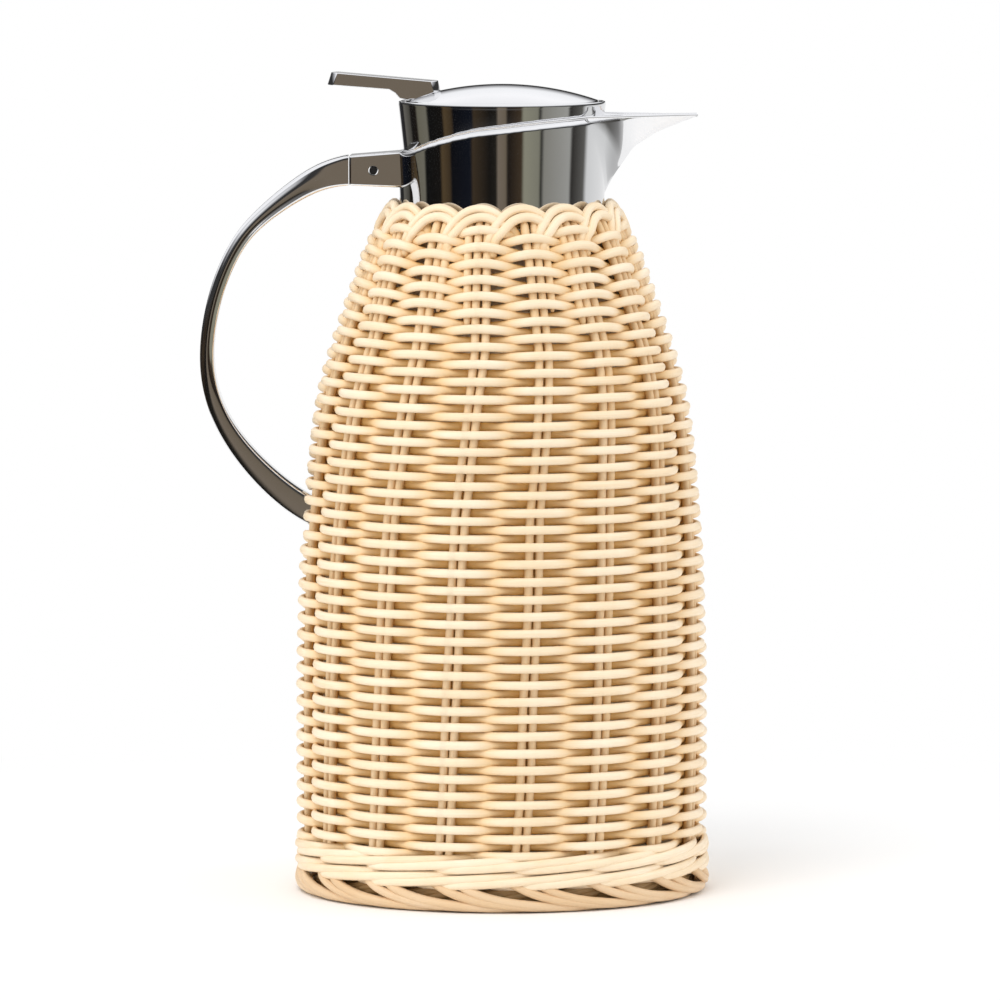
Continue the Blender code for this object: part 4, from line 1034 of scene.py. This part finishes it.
def make_cap(material):
    """The stopper's chromed cap: a slightly tapered drum with a rounded rim."""
    low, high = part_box("stopper_cap")
    rows = outline("stopper_cap")
    bottom_radius = rows[0][1]
    top_radius = high.x
    inner_radius = bottom_radius - CAP_WALL
    ledge_radius = bottom_radius - 3.0 * MM
    ledge_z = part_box("cap_core")[0].z - 0.3 * MM
    profile = [
        (inner_radius, low.z),
        (bottom_radius, low.z),
        (top_radius - 0.15 * MM, high.z - 2.2 * MM),
        (top_radius, high.z - 1.2 * MM),
        (top_radius - 0.2 * MM, high.z),
        (top_radius - 1.25 * MM, high.z),
        (top_radius - 1.4 * MM, high.z - 1.5 * MM),
        (bottom_radius - 0.2 * MM, ledge_z),
        (ledge_radius, ledge_z),
        (ledge_radius, ledge_z - 1.5 * MM),
        (inner_radius, ledge_z - 1.5 * MM),
        (inner_radius, low.z),
    ]
    cap = turned("cap_shell", rounded(profile, 0.5 * MM), material, "stopper")
    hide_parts("stopper_cap")


def make_dome(material):
    """The lid's shallow dome with its turned-down edge."""
    low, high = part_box("lid_dome")
    edge = high.x
    shoulder = edge - 1.4 * MM
    sag = high.z - (low.z + 1.75 * MM)
    sphere = (edge * edge + sag * sag) / (2 * sag)

    def height(radius, inset=0.0):
        return high.z - sphere + math.sqrt((sphere - inset) ** 2 - radius * radius)

    steps = 26
    outside = [(shoulder * i / steps, height(shoulder * i / steps)) for i in range(steps + 1)]
    corner = [(edge - 0.35 * MM, height(edge) + 0.1 * MM), (edge, height(edge) - 0.6 * MM), (edge, low.z)]
    hem = [(edge - DOME_WALL, low.z), (edge - DOME_WALL, low.z + 0.8 * MM)]
    inside = [(x * 0.985, height(x * 0.985, DOME_WALL)) for x, _ in outside[::-1]]
    profile = outside + corner + hem + inside
    dome = turned("dome_shell", profile, material, "lid")
    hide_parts("lid_dome")


def make_lever(material):
    """The thumb lever: a flat bar with bowed ends that runs down into the dome."""
    low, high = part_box("thumb_lever")
    dome_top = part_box("lid_dome")[1].z
    cap_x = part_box("stopper_cap")[0].x
    rim_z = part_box("stopper_cap")[1].z
    tail, nose, half = low.x + LEVER_TAIL_BOW, high.x - LEVER_NOSE_BOW, high.y
    thick, drop = 4.9 * MM, 3.3 * MM
    outline_points = [
        (tail + 1.6 * MM, high.z),
        (tail, high.z - thick),
        (cap_x - 3.5 * MM, rim_z + 4.7 * MM),
        (cap_x - 1.1 * MM, rim_z + 3.3 * MM),
        (cap_x + 0.7 * MM, rim_z + 1.2 * MM),
        (cap_x + 2.6 * MM, rim_z + 0.85 * MM),
        (cap_x + 6.9 * MM, rim_z + 0.9 * MM),
        (nose + 0.4 * MM, dome_top - 3.2 * MM),
        (nose - 0.6 * MM, high.z - drop),
    ]
    count = len(outline_points)
    vertices = [(x, y, z) for y in (-half, half) for x, z in outline_points]
    shares = [step / 5 - 1 for step in range(1, 10)]
    rows = {}
    for corner in (0, 1, count - 2, count - 1):
        x, z = outline_points[corner]
        bow = -LEVER_TAIL_BOW if corner < 2 else LEVER_NOSE_BOW
        first = len(vertices)
        vertices += [(x + bow * (1 - share * share), half * share, z) for share in shares]
        rows[corner] = [corner, *range(first, len(vertices)), corner + count]
    faces = [tuple(range(count)), tuple(range(2 * count - 1, count - 1, -1))]
    for upper, lower in ((rows[0], rows[1]), (rows[count - 1], rows[count - 2])):
        faces += zip(upper, upper[1:], lower[1:], lower)
    faces.append((*rows[count - 1], *reversed(rows[0])))
    faces.append((*rows[1], count + 2, 2))
    faces.append((*rows[count - 2], 2 * count - 3, count - 3))
    faces += [(i, i + count, i + 1 + count, i + 1) for i in range(2, count - 3)]
    lever = new_piece("lever_bar", vertices, faces, material, "lid", 30)
    fix_normals(lever)
    bevel = lever.modifiers.new("edges", "BEVEL")
    bevel.width = 0.3 * MM
    bevel.segments = 4
    bevel.limit_method = "ANGLE"
    bevel.angle_limit = math.radians(50)
    apply_modifiers(lever)
    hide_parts("thumb_lever")


def make_spring(material):
    """The valve's return spring, which sits between the valve and the stopper; it is put on no body."""
    low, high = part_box("return_spring")
    radius = high.x - SPRING_WIRE
    per_turn = 28
    count = SPRING_TURNS * per_turn
    close = 2.2 * SPRING_WIRE / per_turn
    ends = SPRING_END_TURNS * per_turn
    climb = high.z - low.z - 2 * SPRING_WIRE - 2 * ends * close
    path = []
    for i in range(count + 1):
        turn = 2 * math.pi * i / per_turn
        share = min(max((i - ends) / (count - 2 * ends), 0), 1)
        z = low.z + SPRING_WIRE + close * (min(i, ends) + max(i - count + ends, 0)) + share * climb
        path.append(Vector((radius * math.cos(turn), radius * math.sin(turn), z)))
    wire = Strands(10)
    wire.add(path, SPRING_WIRE, SPRING_WIRE, 0.5)
    spring = new_piece("spring_coil", wire.vertices, wire.faces, material, None, 60)
    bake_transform(spring)
    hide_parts("return_spring")


# ---------------------------------------------------------------- studio


def linear(value):
    """Linear light from a 0 to 255 display value."""
    value /= 255
    return value / 12.92 if value <= 0.04045 else ((value + 0.055) / 1.055) ** 2.4


def make_world():
    """White to the camera, even white on what is matt, and a dim room with bands on what shines."""
    world = bpy.data.worlds.new("studio")
    bpy.context.scene.world = world
    world.use_nodes = True
    tree = Nodes(world.node_tree)
    tree.nodes.clear()
    direction = tree.node("ShaderNodeTexCoord").outputs["Generated"]
    split = tree.node("ShaderNodeSeparateXYZ", ("Vector", direction)).outputs
    turn = tree.maths("ARCTAN2", split["X"], tree.maths("MULTIPLY", split["Y"], -1.0))
    round_share = tree.share(turn, -math.pi, math.pi)
    bands = [(place, tuple(linear(value) for value in colour)) for place, colour in ROOM]
    room = tree.ramp(round_share, *bands)
    height = tree.share(split["Z"], -1.0, 1.0)
    sky = tree.ramp(height, *SKY_COLOURS)
    above = tree.ramp(height, *SKY_SHARES)
    mixed = tree.node("ShaderNodeMix", ("Factor", above), (6, room), (7, sky), data_type="RGBA").outputs[2]
    shiny = tree.node("ShaderNodeBackground", ("Color", mixed), ("Strength", ROOM_STRENGTH)).outputs[0]
    even = tree.node("ShaderNodeBackground", ("Color", WHITE), ("Strength", EVEN_STRENGTH)).outputs[0]
    seen = tree.node("ShaderNodeBackground", ("Color", WHITE), ("Strength", 1.0)).outputs[0]
    path = tree.node("ShaderNodeLightPath").outputs
    lit = tree.node("ShaderNodeMixShader", (0, path["Is Glossy Ray"]), (1, even), (2, shiny)).outputs[0]
    last = tree.node("ShaderNodeMixShader", (0, path["Is Camera Ray"]), (1, lit), (2, seen)).outputs[0]
    tree.node("ShaderNodeOutputWorld", ("Surface", last))


def make_floor():
    """A pale round floor that melts into the white surroundings at its edge."""
    mesh = bpy.data.meshes.new("floor")
    bm = bmesh.new()
    bmesh.ops.create_circle(bm, cap_ends=True, segments=128, radius=FLOOR_RADIUS)
    bm.to_mesh(mesh)
    bm.free()
    floor = bpy.data.objects.new("floor", mesh)
    shader = Shader("floor", (0.95, 0.95, 0.95), 0.8)
    place = shader.place()
    shader.join(shader.ramp(shader.noise(place, 3.0), *FLOOR_TINTS), "Base Color")
    away = shader.node("ShaderNodeVectorMath", (0, place), operation="LENGTH").outputs["Value"]
    fade = shader.share(away, FLOOR_CLEAR, 0.9 * FLOOR_RADIUS, interpolation_type="SMOOTHSTEP")
    white = shader.node("ShaderNodeEmission", ("Color", WHITE), ("Strength", 1.0)).outputs[0]
    links = [(0, fade), (1, shader.main.outputs[0]), (2, white)]
    mixed = shader.node("ShaderNodeMixShader", *links).outputs[0]
    shader.links.new(mixed, shader.nodes["Material Output"].inputs["Surface"])
    mesh.materials.append(shader.material)
    bpy.context.scene.collection.objects.link(floor)


def add_light(name, location, size, power):
    data = bpy.data.lights.new(name, "AREA")
    data.shape = "RECTANGLE"
    data.size, data.size_y = size
    data.energy = power
    light = bpy.data.objects.new(name, data)
    light.location = location
    light.visible_camera = False
    light.visible_glossy = False
    light.rotation_euler = (Vector(LIGHT_AIM) - Vector(location)).to_track_quat("-Z", "Y").to_euler()
    bpy.context.scene.collection.objects.link(light)


def make_studio():
    make_world()
    make_floor()
    for row in LIGHTS:
        add_light(*row)
    data = bpy.data.cameras.new("camera")
    data.sensor_width = SENSOR
    camera = bpy.data.objects.new("camera", data)
    camera.location = (TARGET[0], -CAMERA_DISTANCE, CAMERA_HEIGHT)
    sight = Vector(TARGET) - camera.location
    data.lens = SENSOR * sight.length / FRAME_WIDTH
    data.clip_end = 60
    camera.rotation_euler = sight.to_track_quat("-Z", "Y").to_euler()
    bpy.context.scene.collection.objects.link(camera)
    bpy.context.scene.camera = camera
    bpy.context.scene.view_settings.view_transform = "Standard"


# ---------------------------------------------------------------- assembly

materials = make_materials()
paint_cad_nodes(materials)
outer_radius, middle_radius = jacket_tables()
make_rows(outer_radius, middle_radius, materials["wicker"])
make_stakes(outer_radius, middle_radius, materials["wicker"])
make_rim_braid(outer_radius, materials["wicker"])
make_waling(outer_radius, middle_radius, materials["wicker"])
make_foot_braid(outer_radius, materials["wicker_foot"], materials["wicker_inner_shade"])
make_collar(materials["chrome"])
make_lug(materials["chrome"])
make_handle(materials["chrome"])
make_cap(materials["chrome"])
make_dome(materials["chrome"])
make_lever(materials["chrome"])
make_spring(materials["steel"])
make_studio()
